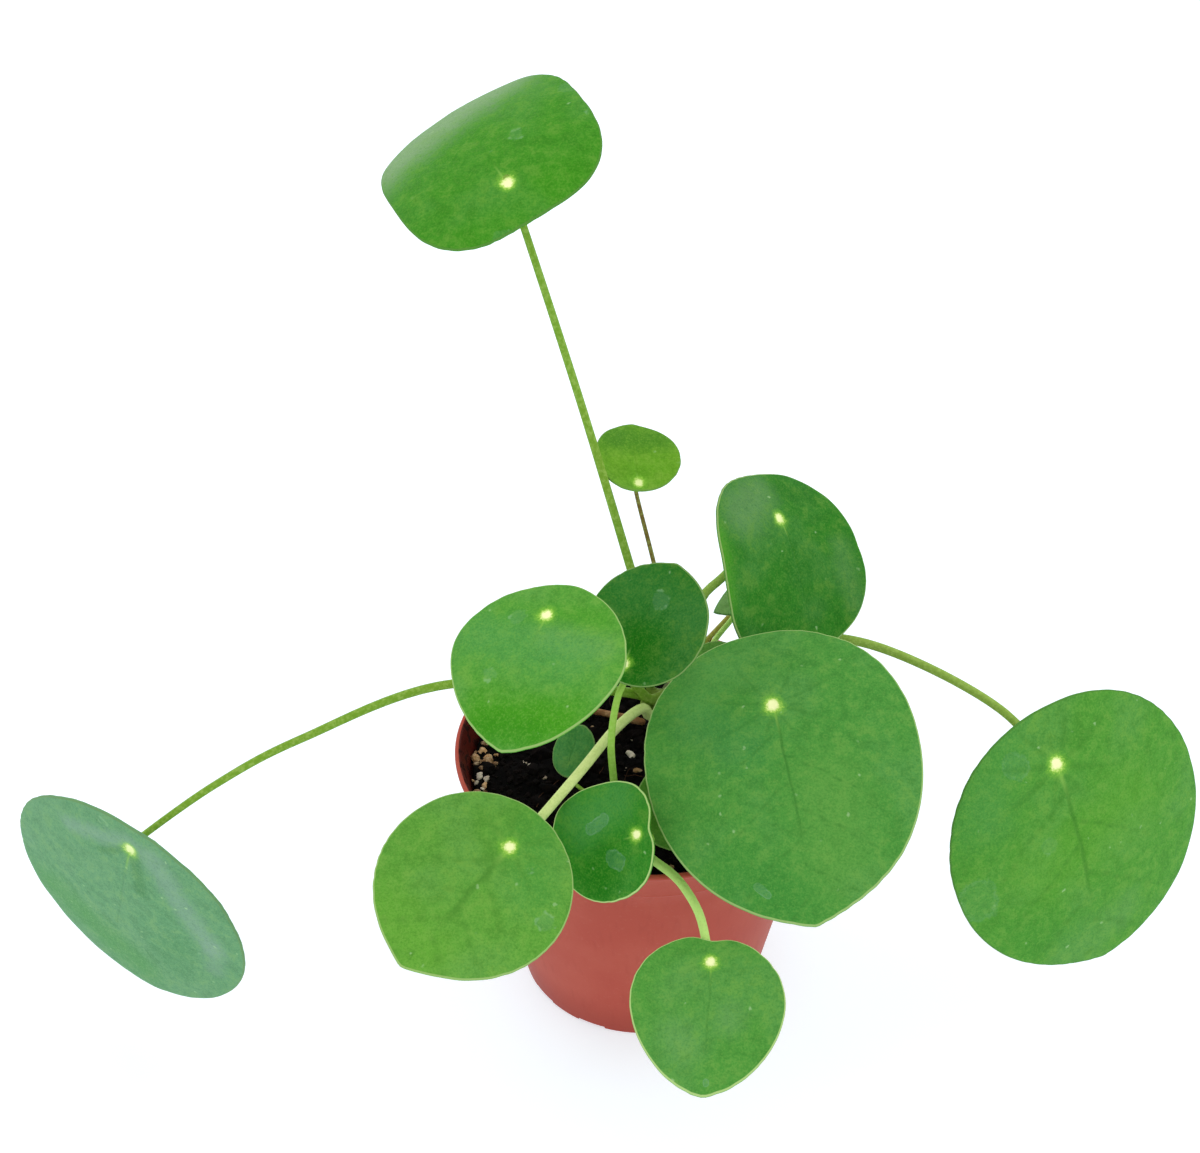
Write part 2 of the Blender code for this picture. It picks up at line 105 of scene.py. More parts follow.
class Signal:
    """A socket of a node tree. Arithmetic on it adds Math nodes to its tree."""

    def __init__(self, bench: Bench, socket: bpy.types.NodeSocket) -> None:
        """Wraps an output socket of a node that is on a bench."""
        self.bench = bench
        self.socket = socket

    def __add__(self, other: Value) -> Signal:
        """Adds."""
        return self.bench.math("ADD", self, other)

    def __radd__(self, other: Value) -> Signal:
        """Adds, with this signal on the right."""
        return self.bench.math("ADD", other, self)

    def __sub__(self, other: Value) -> Signal:
        """Subtracts."""
        return self.bench.math("SUBTRACT", self, other)

    def __rsub__(self, other: Value) -> Signal:
        """Subtracts this signal from a value."""
        return self.bench.math("SUBTRACT", other, self)

    def __mul__(self, other: Value) -> Signal:
        """Multiplies."""
        return self.bench.math("MULTIPLY", self, other)

    def __rmul__(self, other: Value) -> Signal:
        """Multiplies, with this signal on the right."""
        return self.bench.math("MULTIPLY", other, self)


Value = Signal | float


class Bench:
    """A node tree under construction, for a shader or for geometry."""

    def __init__(self, tree: bpy.types.NodeTree) -> None:
        """Starts on an empty tree."""
        self.tree = tree

    def node(self, kind: str, settings: dict | None = None, inputs: dict | None = None,
             output: int | str = 0) -> Signal:
        """Adds one node.

        Args:
            kind: The node's type.
            settings: Properties to set first.
            inputs: Value or Signal for each input, by name or number.
            output: The output to return, by name or number.

        Returns:
            The chosen output.
        """
        made = self.tree.nodes.new(kind)
        for key, value in (settings or {}).items():
            setattr(made, key, value)
        for key, value in (inputs or {}).items():
            socket = made.inputs[key]
            if isinstance(value, Signal):
                self.tree.links.new(value.socket, socket)
            elif socket.type == "RGBA" and len(value) == 3:
                socket.default_value = (*value, 1.0)
            else:
                socket.default_value = value
        return Signal(self, made.outputs[output])

    def math(self, operation: str, *values: Value) -> Signal:
        """Adds a Math node on one, two or three values."""
        return self.node("ShaderNodeMath", {"operation": operation}, dict(enumerate(values)))

    def vector(self, operation: str, first: Signal, second: Value | Point) -> Signal:
        """Adds a Vector Math node. The second value is a number for SCALE, else a vector."""
        place = "Scale" if operation == "SCALE" else 1
        return self.node("ShaderNodeVectorMath", {"operation": operation}, {0: first, place: second})

    def absolute(self, value: Value) -> Signal:
        """The size of a value without its sign."""
        return self.math("ABSOLUTE", value)

    def root(self, value: Value) -> Signal:
        """The square root."""
        return self.math("SQRT", value)

    def angle(self, x: Value, y: Value) -> Signal:
        """The angle of (x, y) from +Y, in radians."""
        return self.math("ARCTAN2", x, y)

    def wave(self, value: Value) -> Signal:
        """The sine of a value in radians."""
        return self.math("SINE", value)

    def to_nearest(self, value: Value, spacing: Value) -> Signal:
        """Distance from a value to the nearest multiple of the spacing."""
        return self.math("PINGPONG", value, spacing * 0.5)

    def rise(self, value: Value, low: Value, high: Value) -> Signal:
        """Goes smoothly from 0 at low to 1 at high."""
        return self.node("ShaderNodeMapRange", {"interpolation_type": "SMOOTHSTEP"},
                         {"Value": value, "From Min": low, "From Max": high})

    def fall(self, value: Value, low: Value, high: Value) -> Signal:
        """Goes smoothly from 1 at low to 0 at high."""
        return 1 - self.rise(value, low, high)

    def blend(self, share: Value, first: Signal | Color, second: Signal | Color) -> Signal:
        """Mixes two colours: all of the first at a share of 0, all of the second at 1.

        The node's sockets for colours go by number, because those for other types share their names.
        """
        return self.node("ShaderNodeMix", {"data_type": "RGBA", "clamp_factor": True},
                         {0: share, 6: first, 7: second}, 2)

    def tint(self, color: Signal | Color, other: Signal | Color, value: Value, low: float, high: float,
             share: float) -> Signal:
        """Blends in another colour: none of it up to the low value, the share of it from the high one."""
        return self.blend(self.rise(value, low, high) * share, color, other)

    def noise(self, where: Signal, scale: float, detail: float = 2.0, rough: float = 0.5) -> Signal:
        """Soft noise from about 0 to 1, of so many lumps in a unit, with finer layers of some strength."""
        inputs = {"Vector": where, "Scale": scale, "Detail": detail, "Roughness": rough}
        return self.node("ShaderNodeTexNoise", None, inputs)

    def drift(self, where: Signal, scale: float, detail: float) -> Signal:
        """A vector of three soft noises from about 0 to 1; scale and detail as for noise."""
        inputs = {"Vector": where, "Scale": scale, "Detail": detail}
        return self.node("ShaderNodeTexNoise", None, inputs, "Color")

    def attribute(self, name: str, output: str = "Fac") -> Signal:
        """Reads an attribute of the mesh that carries the material."""
        settings = {"attribute_name": name, "attribute_type": "GEOMETRY"}
        return self.node("ShaderNodeAttribute", settings, None, output)

    def object_place(self) -> Signal:
        """Object coordinates, in metres."""
        return self.node("ShaderNodeTexCoord", None, None, "Object")

    def parts(self, vector: Signal) -> tuple[Signal, Signal, Signal]:
        """Splits a vector into its three numbers."""
        outputs = self.node("ShaderNodeSeparateXYZ", None, {0: vector}).socket.node.outputs
        return tuple(Signal(self, output) for output in outputs)

    def cells(self, where: Signal, scale: float) -> tuple[Signal, tuple[Signal, Signal, Signal]]:
        """The distance from the middle of a random cell, and three random numbers that the cell has."""
        distance = self.node("ShaderNodeTexVoronoi", None, {"Vector": where, "Scale": scale}, "Distance")
        return distance, self.parts(Signal(self, distance.socket.node.outputs["Color"]))


class ArrayMaths:
    """The same operations as on a bench, for arrays of numbers."""

    absolute = staticmethod(np.abs)
    root = staticmethod(np.sqrt)
    angle = staticmethod(np.arctan2)
    wave = staticmethod(np.sin)

    @staticmethod
    def to_nearest(value: Array, spacing: float) -> Array:
        """Distance from each number to the nearest multiple of the spacing."""
        return np.abs(value - spacing * np.round(value / spacing))

    @staticmethod
    def rise(value: Array, low: float, high: float) -> Array:
        """Goes smoothly from 0 at low to 1 at high."""
        share = np.clip((value - low) / (high - low), 0.0, 1.0)
        return share * share * (3 - 2 * share)

    @staticmethod
    def fall(value: Array, low: float, high: float) -> Array:
        """Goes smoothly from 1 at low to 0 at high."""
        return 1 - ArrayMaths.rise(value, low, high)


class Finish(Bench):
    """A material in the making: a bench that ends in one Principled shader."""

    def __init__(self, name: str, specular: float) -> None:
        """Starts an empty material.

        Args:
            name: The material's name.
            specular: How strong the shader's reflection is.
        """
        self.material = bpy.data.materials.new(name)
        self.material.use_nodes = True
        tree = self.material.node_tree
        tree.nodes.clear()
        super().__init__(tree)
        self.shader = tree.nodes.new("ShaderNodeBsdfPrincipled")
        self.shader.inputs["Specular IOR Level"].default_value = specular
        end = tree.nodes.new("ShaderNodeOutputMaterial")
        tree.links.new(self.shader.outputs[0], end.inputs["Surface"])

    def surface(self, color: Signal, roughness: Signal, height: Signal, depth: float) -> Material:
        """Connects the shader.

        Args:
            color: The base colour.
            roughness: The roughness.
            height: Relief from 0 to 1.
            depth: The height in metres that 1 stands for.

        Returns:
            The finished material.
        """
        bump = self.node("ShaderNodeBump", None, {"Strength": 1.0, "Distance": depth, "Height": height})
        for name, signal in (("Base Color", color), ("Roughness", roughness), ("Normal", bump)):
            self.tree.links.new(signal.socket, self.shader.inputs[name])
        return self.material


# ---- leaves


VEIN_SPACING = 0.27
VEIN_STAGGER = 0.45
VEIN_SLOPE = 0.62
RADIAL_VEINS = 9


def vein_map(maths: Bench | ArrayMaths, x: Value | Array, y: Value | Array,
             half_width: float, tip_reach: float, boldness: float = 1.0,
             ) -> tuple[Value | Array, Value | Array]:
    """Where the veins of a blade run. It works on shader signals and on arrays alike.

    Args:
        maths: The operations to use.
        x: Distance from the midrib, in millimetres.
        y: Distance from the umbo towards the tip, in millimetres.
        half_width: Half the blade's width, in millimetres.
        tip_reach: Distance from the umbo to the tip, in millimetres.
        boldness: How wide the veins are, 1 for thin ones.

    Returns:
        Two values from 0 to 1: the midrib, and the side and radial veins.
    """
    width = (0.28 + 0.004 * half_width) * boldness
    spacing = VEIN_SPACING * tip_reach
    wander = maths.wave(y * 0.31 + x * 0.17) * 0.45 + maths.wave(y * 0.83 - x * 0.47) * 0.25
    away = maths.absolute(x)
    distance = maths.root(x * x + y * y + 0.01)
    bent = x + maths.wave(y * (2.2 / tip_reach)) * (0.02 * half_width) + wander * 0.25
    midrib = maths.fall(maths.absolute(bent), width * 0.1, width * 1.3)
    midrib = midrib * maths.rise(y, 0.0, 2.0) * maths.fall(y, 0.5 * tip_reach, 0.82 * tip_reach)

    shift = maths.rise(x, -0.2, 0.2) * (VEIN_STAGGER * spacing)
    climb = y + shift - away * VEIN_SLOPE - away * away * (0.16 / half_width) + wander
    side = maths.fall(maths.to_nearest(climb, spacing), 0.0, width * 1.9)
    side = side * maths.rise(y - away * VEIN_SLOPE, 0.3 * spacing, 0.6 * spacing)
    side = side * maths.fall(away, 0.3 * half_width, 0.85 * half_width)
    side = side * (0.6 + 0.4 * maths.wave(away * 0.9 + y * 1.3))

    sector = math.tau / RADIAL_VEINS
    turn = maths.angle(x, y) * (1 - 0.004 * distance) + wander * 0.05
    fan = maths.fall(maths.to_nearest(turn + sector / 2, sector) * distance, 0.0, width * 1.7)
    fan = fan * maths.fall(distance, 0.2 * half_width, 0.75 * half_width)
    fan = fan * maths.rise(distance, 2.0, 5.0) * (1 - 0.8 * maths.rise(y - away, 0.0, 0.3 * half_width))
    return midrib, side + 0.7 * fan


@dataclass(frozen=True)
class Palette:
    """The greens of one blade, worked out from its main green."""

    main: Color

    @property
    def light(self) -> Color:
        """The paler green of the blade's blotches."""
        return mixed(self.main, srgb(190, 214, 110), 0.16)

    @property
    def deep(self) -> Color:
        """The green of its shaded blotches and veins."""
        return mixed(self.main, srgb(0, 60, 0), 0.42)

    @property
    def sky_sheen(self) -> Color:
        """The greyer green of a painted sky reflection."""
        return mixed(self.main, srgb(146, 176, 138), 0.3)

    @property
    def under(self) -> Color:
        """The paler green of the lower face."""
        return mixed(self.main, srgb(168, 196, 128), 0.42)


class Kind(Enum):
    """The record's material slots for the leaves."""

    GREEN = "leaf_green"
    DEEP = "leaf_deep_green"
    SEA = "leaf_blue_green"


# Greys of painted sheen: where a blade reflects the bright sky, laid on as patches of colour.
SHEEN = srgb(150, 178, 138)
LILAC_SHEEN = srgb(140, 168, 152)
LUSH = srgb(62, 148, 10)
DARK = srgb(28, 98, 18)
WATER = srgb(132, 176, 148)

OLIVE_STALK = srgb(140, 172, 74)
# The lower left leaf's pale stalk colour is partly its own and partly painted light.
PALE_STALK = srgb(214, 230, 150)
BRIGHT_STALK = srgb(146, 194, 78)
LIME_STALK = srgb(186, 226, 124)
BROWN_STALK = srgb(116, 98, 48)
DULL_STALK = srgb(146, 180, 80)
AMBER_STALK = srgb(152, 142, 64)
GREEN_STALK = srgb(116, 158, 48)


@dataclass(frozen=True)
class Patch:
    """A soft patch of another green on a blade, round or drawn out; some are painted sheen and painted light.
    Places are in millimetres.

    start, end: the ends of the patch's middle line, from the umbo: aside and towards the tip.
    radius: how far it reaches from that line.
    color: the green.
    strength: how much of it shows, from 0 to 1.
    dried: whether it ends in the pale line of a dried drop.
    """

    start: Pair
    end: Pair
    radius: float
    color: Color
    strength: float
    dried: bool = False

    def lay(self, bench: Bench, under: Signal, x: Signal, y: Signal, ragged: Signal) -> Signal:
        """Lays the patch over a colour.

        Args:
            bench: The bench to work on.
            under: The colour below.
            x: Distance from the midrib, in millimetres.
            y: Distance from the umbo towards the tip, in millimetres.
            ragged: Noise round 0 that makes the patch's edge uneven.

        Returns:
            The new colour.
        """
        run = (self.end[0] - self.start[0], self.end[1] - self.start[1])
        square = run[0] ** 2 + run[1] ** 2
        aside, ahead = x - self.start[0], y - self.start[1]
        if square:
            along = bench.math("MAXIMUM", (aside * run[0] + ahead * run[1]) * (1 / square), 0.0)
            along = bench.math("MINIMUM", along, 1.0)
            aside, ahead = aside - along * run[0], ahead - along * run[1]
        distance = bench.root(aside * aside + ahead * ahead) * (1 / self.radius) + ragged
        if not self.dried:
            return bench.blend(bench.fall(distance, 0.1, 1.3) * self.strength, under, self.color)
        inside = bench.fall(distance, 0.88, 1.02)
        line = inside * bench.rise(distance, 0.62, 0.9) * bench.rise(ragged, -0.16, 0.1)
        return bench.blend((inside * 0.4 + line * 0.6) * self.strength, under, self.color)


@dataclass(frozen=True)
class Leaf:
    """One leaf in the form of its solid. Places and sizes are in millimetres, angles in degrees.

    leaves_at: direction round the stem and height at which the stalk starts.
    route: points that the stalk passes on its way to the blade.
    umbo: point of the upper face above the stalk's end.
    facing: azimuth and elevation in which the upper face looks.
    turn: how far the tip is turned from the blade's straight downhill direction.
    umbo_share: distance from the rear edge to the umbo, as a share of the length.
    sag: how far the blade drops below the umbo's plane at half its width, at half its length, and
        on one diagonal at both.
    squareness: how far the outline departs from an ellipse; 0 is an ellipse.
    kind: which of the record's slots the leaf's finish stands for.
    green: the blade's main colour; on a few leaves partly painted light and painted sky reflection.
    veins: how clearly the veins show, from 0 to 1.
    darkening: how much deeper the green gets towards the tip, from 0 to 1.
    patches: patches of other greens on the blade, some of them painted sheen and painted light.
    edge: how pale the margin is, from 0 to 1.
    spot: how clearly the umbo shows, from 0 to 1.
    boldness: how wide the veins are, 1 for thin ones.
    stalk_color: the stalk's main colour.
    lean: how far the blade's middle lies to one side of the umbo.
    point: how far the tip stands out of the round outline.
    cleft: how far the outline dips where it crosses the stalk behind the umbo.
    """

    name: str
    stem: str
    leaves_at: Pair
    route: tuple[Point, ...]
    umbo: Point
    facing: Pair
    turn: float
    length: float
    width: float
    umbo_share: float
    sag: Point
    squareness: float
    stalk_radius: Pair
    kind: Kind
    green: Color
    veins: float = 0.5
    darkening: float = 0.3
    patches: tuple[Patch, ...] = ()
    edge: float = 0.3
    spot: float = 1.0
    boldness: float = 1.0
    stalk_color: Color = GREEN_STALK
    lean: float = 0.0
    point: float = 0.0
    cleft: float = 0.0

    @property
    def tip_reach(self) -> float:
        """Distance from the umbo to the tip."""
        return self.length * (1 - self.umbo_share)

    @property
    def half_width(self) -> float:
        """Half the blade's width."""
        return self.width / 2

    @property
    def core_radius(self) -> float:
        """The radius of the pale spot at the umbo."""
        return 0.78 + 0.009 * self.length

    @property
    def axes(self) -> Array:
        """Unit vectors of the blade as rows: across, towards the tip, out of the upper face."""
        azimuth, elevation, turn = (math.radians(a) for a in (*self.facing, self.turn))
        normal = np.array([math.cos(elevation) * math.cos(azimuth),
                           math.cos(elevation) * math.sin(azimuth), math.sin(elevation)])
        downhill = np.array([math.sin(elevation) * math.cos(azimuth),
                             math.sin(elevation) * math.sin(azimuth), -math.cos(elevation)])
        tip = downhill * math.cos(turn) + np.cross(normal, downhill) * math.sin(turn)
        return np.array([np.cross(tip, normal), tip, normal])


@dataclass(frozen=True)
class LeafFinish:
    """The finish of one leaf: a mottled blade with painted sheen, veins, a pale umbo and margin, and its
    stalk.

    Each grain is a noise's scale, detail and roughness. halo gives the rings of the umbo: where each
    starts to fade and has faded, in radii of its core, its strength and its colour.
    """

    leaf: Leaf
    broad_grain: Grain = (55, 2, 0.5)
    patch_grain: Grain = (250, 4, 0.68)
    middle_grain: Grain = (720, 3, 0.7)
    fine_grain: Grain = (1900, 2, 0.8)
    umbo_grain: Grain = (1700, 2, 0.8)
    streak_grain: Grain = (900, 3, 0.6)
    rib_start: Color = srgb(156, 206, 96)
    margin: Color = srgb(206, 232, 150)
    speck: Color = srgb(172, 210, 150)
    drop_line: Color = srgb(156, 200, 150)
    drop: Color = srgb(128, 170, 140)
    halo: tuple[tuple[float, float, float, Color], ...] = ((1.1, 2.5, 0.5, srgb(132, 196, 60)),
                                                           (0.85, 1.6, 0.8, srgb(196, 232, 106)),
                                                           (0.55, 1.2, 1.0, srgb(250, 254, 190)))
    stalk_streak: Color = srgb(184, 212, 116)
    stalk_shade: Color = srgb(98, 132, 50)
    stalk_base: Color = srgb(104, 112, 56)
    stalk_top: Color = srgb(176, 214, 108)
    relief: float = 0.00014

    def make(self) -> Material:
        """Builds the material: the blade's layers from below to above, then its stalk."""
        leaf, palette = self.leaf, Palette(self.leaf.green)
        bench = Finish(leaf.name, specular=0.05)
        place = bench.object_place()
        x, y, rim = bench.parts(bench.attribute("blade", "Vector"))
        upper, is_stalk, share = bench.parts(bench.attribute("skin", "Vector"))
        broad, patches, middle, fine = (bench.noise(place, *grain) for grain in (
            self.broad_grain, self.patch_grain, self.middle_grain, self.fine_grain))
        midrib, side = vein_map(bench, x, y, leaf.half_width, leaf.tip_reach, leaf.boldness)

        blade = self._greens(bench, palette, broad, patches, y)
        ragged = (patches - 0.5) * 0.9 + (middle - 0.5) * 0.7
        for patch in leaf.patches:
            blade = patch.lay(bench, blade, x, y, ragged)
        for grain, amount in ((middle, 0.22), (fine, 0.45)):
            blade = bench.tint(blade, palette.light, grain, 0.48, 0.68, amount)
            blade = bench.tint(blade, palette.deep, 1 - grain, 0.48, 0.68, amount * 0.9)
        for veins, amount in ((midrib, 0.62), (side, 0.5)):
            blade = bench.blend(veins * (amount * leaf.veins), blade, palette.deep)
        start = midrib * bench.fall(y, 0.06 * leaf.tip_reach, 0.2 * leaf.tip_reach)
        blade = bench.blend(start * 0.45, blade, self.rib_start)
        blade = self._marks(bench, blade, place)
        blade = self._umbo(bench, blade, x, y, place)
        under = bench.blend(0.4 * midrib + 0.25 * side, palette.under, palette.light)
        # Fine flecks of painted sky sheen on the lower face.
        under = bench.tint(under, palette.sky_sheen, fine, 0.35, 0.8, 0.3)
        blade = bench.blend(bench.rise(upper, 0.05, 0.3), under, blade)
        line = bench.fall(rim + fine * 0.08, 0.05, 0.17) * bench.rise(upper, 0.45, 0.75)
        blade = bench.blend(line * 0.85, blade, mixed(palette.deep, self.margin, leaf.edge))
        color = bench.blend(is_stalk, blade, self._stalk(bench, place, share, fine))

        roughness = 0.46 + 0.14 * patches - 0.06 * fine
        height = 0.55 * fine + 0.45 * patches - 0.5 * midrib - 0.25 * side
        return bench.surface(color, roughness, height, self.relief)

    def _greens(self, bench: Bench, palette: Palette, broad: Signal, patches: Signal, y: Signal) -> Signal:
        """Mottled greens with broad blotches of painted sky sheen, deeper towards the tip."""
        reach = self.leaf.tip_reach
        # Broad blotches of painted sky sheen.
        color = bench.tint(palette.main, palette.sky_sheen, broad, 0.42, 0.66, 0.3)
        color = bench.tint(color, palette.light, patches, 0.49, 0.64, 0.6)
        color = bench.tint(color, palette.deep, 1 - patches, 0.49, 0.64, 0.38)
        return bench.tint(color, palette.deep, y + broad * 8 - 4, -0.2 * reach, 0.9 * reach,
                          self.leaf.darkening)

    def _marks(self, bench: Bench, color: Signal, place: Signal) -> Signal:
        """Small pale specks, and faint outlines where drops have dried."""
        drift = bench.vector("SCALE", bench.drift(place, 700.0, 2.0), 0.0016)
        moved = bench.vector("ADD", place, drift)
        away, (chance, _, _) = bench.cells(moved, 330.0)
        speck = bench.fall(away, 0.05, 0.2) * bench.rise(chance, 0.86, 0.93)
        color = bench.blend(speck * 0.5, color, self.speck)
        away, (_, chance, _) = bench.cells(moved, 80.0)
        chosen = bench.rise(chance, 0.74, 0.8)
        edge = bench.fall(bench.absolute(away - 0.2), 0.01, 0.04) * chosen
        broken = bench.rise(bench.noise(place, 420), 0.5, 0.66)
        color = bench.blend(edge * broken * 0.3, color, self.drop_line)
        return bench.blend(bench.fall(away, 0.17, 0.21) * chosen * 0.1, color, self.drop)

    def _umbo(self, bench: Bench, color: Signal, x: Signal, y: Signal, place: Signal) -> Signal:
        """The pale spot over the stalk, with a grainy yellow-green halo."""
        core = self.leaf.core_radius
        drawn_out = bench.rise(y, -0.2, core) * 0.22
        distance = bench.root(x * x + y * y) * (1 - drawn_out) * (1 / core)
        grains = bench.noise(place, *self.umbo_grain) - 0.5
        reach = distance + grains * (0.5 + 0.7 * distance)
        for low, high, strength, tone in self.halo:
            color = bench.blend(bench.fall(reach, low, high) * (strength * self.leaf.spot), color, tone)
        return color

    def _stalk(self, bench: Bench, place: Signal, share: Signal, fine: Signal) -> Signal:
        """The stalk's colour: browner at its base, paler towards the blade, with fine streaks."""
        streaks = bench.noise(place, *self.streak_grain)
        color = bench.tint(self.leaf.stalk_color, self.stalk_streak, streaks, 0.4, 0.7, 0.35)
        color = bench.tint(color, self.stalk_shade, 1 - fine, 0.5, 0.8, 0.3)
        color = bench.blend(bench.fall(share, 0.0, 0.14) * 0.6, color, self.stalk_base)
        return bench.tint(color, self.stalk_top, share, 0.93, 1.0, 0.4)


# ---- meshes


def around(sides: int) -> Array:
    """The directions of a ring's points, in radians."""
    return math.tau * np.arange(sides) / sides


def circle(angle: Array, radius: float | Array, heights: Array) -> Array:
    """Places on a circle about +Z, one row each."""
    return np.stack([radius * np.cos(angle), radius * np.sin(angle), heights], axis=1)


def arc(centre: Pair, radius: float, start: float, end: float, steps: int) -> list[Pair]:
    """Points along an arc from one angle to another, in degrees."""
    made = []
    for i in range(steps + 1):
        angle = math.radians(start + (end - start) * i / steps)
        made.append((centre[0] + radius * math.cos(angle), centre[1] + radius * math.sin(angle)))
    return made


def quads(first: int, second: int, sides: int) -> Array:
    """The four-sided faces between two rings of the same number of points."""
    i = np.arange(sides)
    j = (i + 1) % sides
    return np.stack([first + i, first + j, second + j, second + i], axis=1)


@dataclass
class Skin:
    """Points, faces and attributes of one mesh, gathered ring by ring. Points are in millimetres."""

    points: list[Array] = field(default_factory=list)
    blade: list[Array] = field(default_factory=list)
    skin: list[Array] = field(default_factory=list)
    faces: list[Array] = field(default_factory=list)
    loose: list[tuple[int, ...]] = field(default_factory=list)
    count: int = 0

    def ring(self, points: Array, blade: Array = NOTHING, skin: Array = NOTHING) -> int:
        """Adds a ring of points.

        Args:
            points: The places, one row each.
            blade: The "blade" attribute, one row each or one row for all.
            skin: The "skin" attribute, one row each or one row for all.

        Returns:
            The number of the ring's first point.
        """
        first = self.count
        self.points.append(points)
        self.blade.append(np.broadcast_to(blade, points.shape))
        self.skin.append(np.broadcast_to(skin, points.shape))
        self.count += len(points)
        return first

    def on_axis(self, height: float) -> int:
        """Adds one point on the Z axis and returns its number."""
        return self.ring(np.array([[0.0, 0.0, height]]))

    def bands(self, rings: list[int], sides: int) -> None:
        """Joins each ring to the next, all of the same number of points, with four-sided faces."""
        self.faces += [quads(first, second, sides) for first, second in zip(rings, rings[1:])]

    def fan(self, ring: int, sides: int, centre: int, outward: bool) -> None:
        """Closes a ring with triangles to one point."""
        for i in range(sides):
            j = (i + 1) % sides
            self.loose.append((ring + i, ring + j, centre) if outward else (ring + j, ring + i, centre))

    def funnel(self, many: int, many_sides: int, few: int, few_sides: int) -> None:
        """Joins a ring of many points to one of few, where many is a multiple of few."""
        step = many_sides // few_sides
        for i in range(few_sides):
            j = (i + 1) % few_sides
            for k in range(step):
                a = many + (i * step + k) % many_sides
                b = many + (i * step + k + 1) % many_sides
                self.loose.append((few + i, b, a))
            self.loose.append((few + i, few + j, many + j * step % many_sides))

    def mesh(self, name: str) -> Mesh:
        """Writes the mesh in metres under a name, smooth-shaded, with faces that point out."""
        made = bpy.data.meshes.new(name)
        faces = np.concatenate(self.faces).tolist() + self.loose
        made.from_pydata(np.concatenate(self.points) * MM, [], faces)
        for key, rows in (("blade", self.blade), ("skin", self.skin)):
            values = made.attributes.new(key, "FLOAT_VECTOR", "POINT")
            values.data.foreach_set("vector", np.concatenate(rows).astype(np.float32).ravel())
        made.validate()
        made.shade_smooth()
        return made


RingShape = Callable[[Array, float, float], tuple[Array, Array]]


def straight(angle: Array, radius: float, height: float) -> tuple[Array, Array]:
    """The shape of a ring that is a plain circle."""
    return np.full(len(angle), float(radius)), np.full(len(angle), float(height))


def turned_skin(profile: list[Pair], sides: int, shape: RingShape = straight) -> Skin:
    """Turns a profile that starts and ends on the axis about +Z.

    Args:
        profile: (radius, height) of each ring, in millimetres.
        sides: Points in a ring.
        shape: Given the angles, the radius and the height of a ring, returns the radii and heights.

    Returns:
        The skin, about the origin.
    """
    skin = Skin()
    angle = around(sides)
    first, last = skin.on_axis(profile[0][1]), skin.on_axis(profile[-1][1])
    rings = [skin.ring(circle(angle, *shape(angle, *point))) for point in profile[1:-1]]
    skin.fan(rings[0], sides, first, False)
    skin.bands(rings, sides)
    skin.fan(rings[-1], sides, last, True)
    return skin


def put(name: str, mesh: Mesh, material: Material | None, slot: str,
        *nodes: str) -> None:
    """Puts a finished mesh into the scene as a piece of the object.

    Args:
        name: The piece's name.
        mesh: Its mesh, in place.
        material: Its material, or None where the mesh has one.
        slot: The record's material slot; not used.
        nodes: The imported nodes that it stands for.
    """
    piece = placed(name, mesh)
    if material:
        mesh.materials.append(material)
    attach(piece, BODY)
    if nodes:
        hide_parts(*nodes)
    mesh.calc_loop_triangles()
    LOG.info("%s: %d triangles", name, len(mesh.loop_triangles))




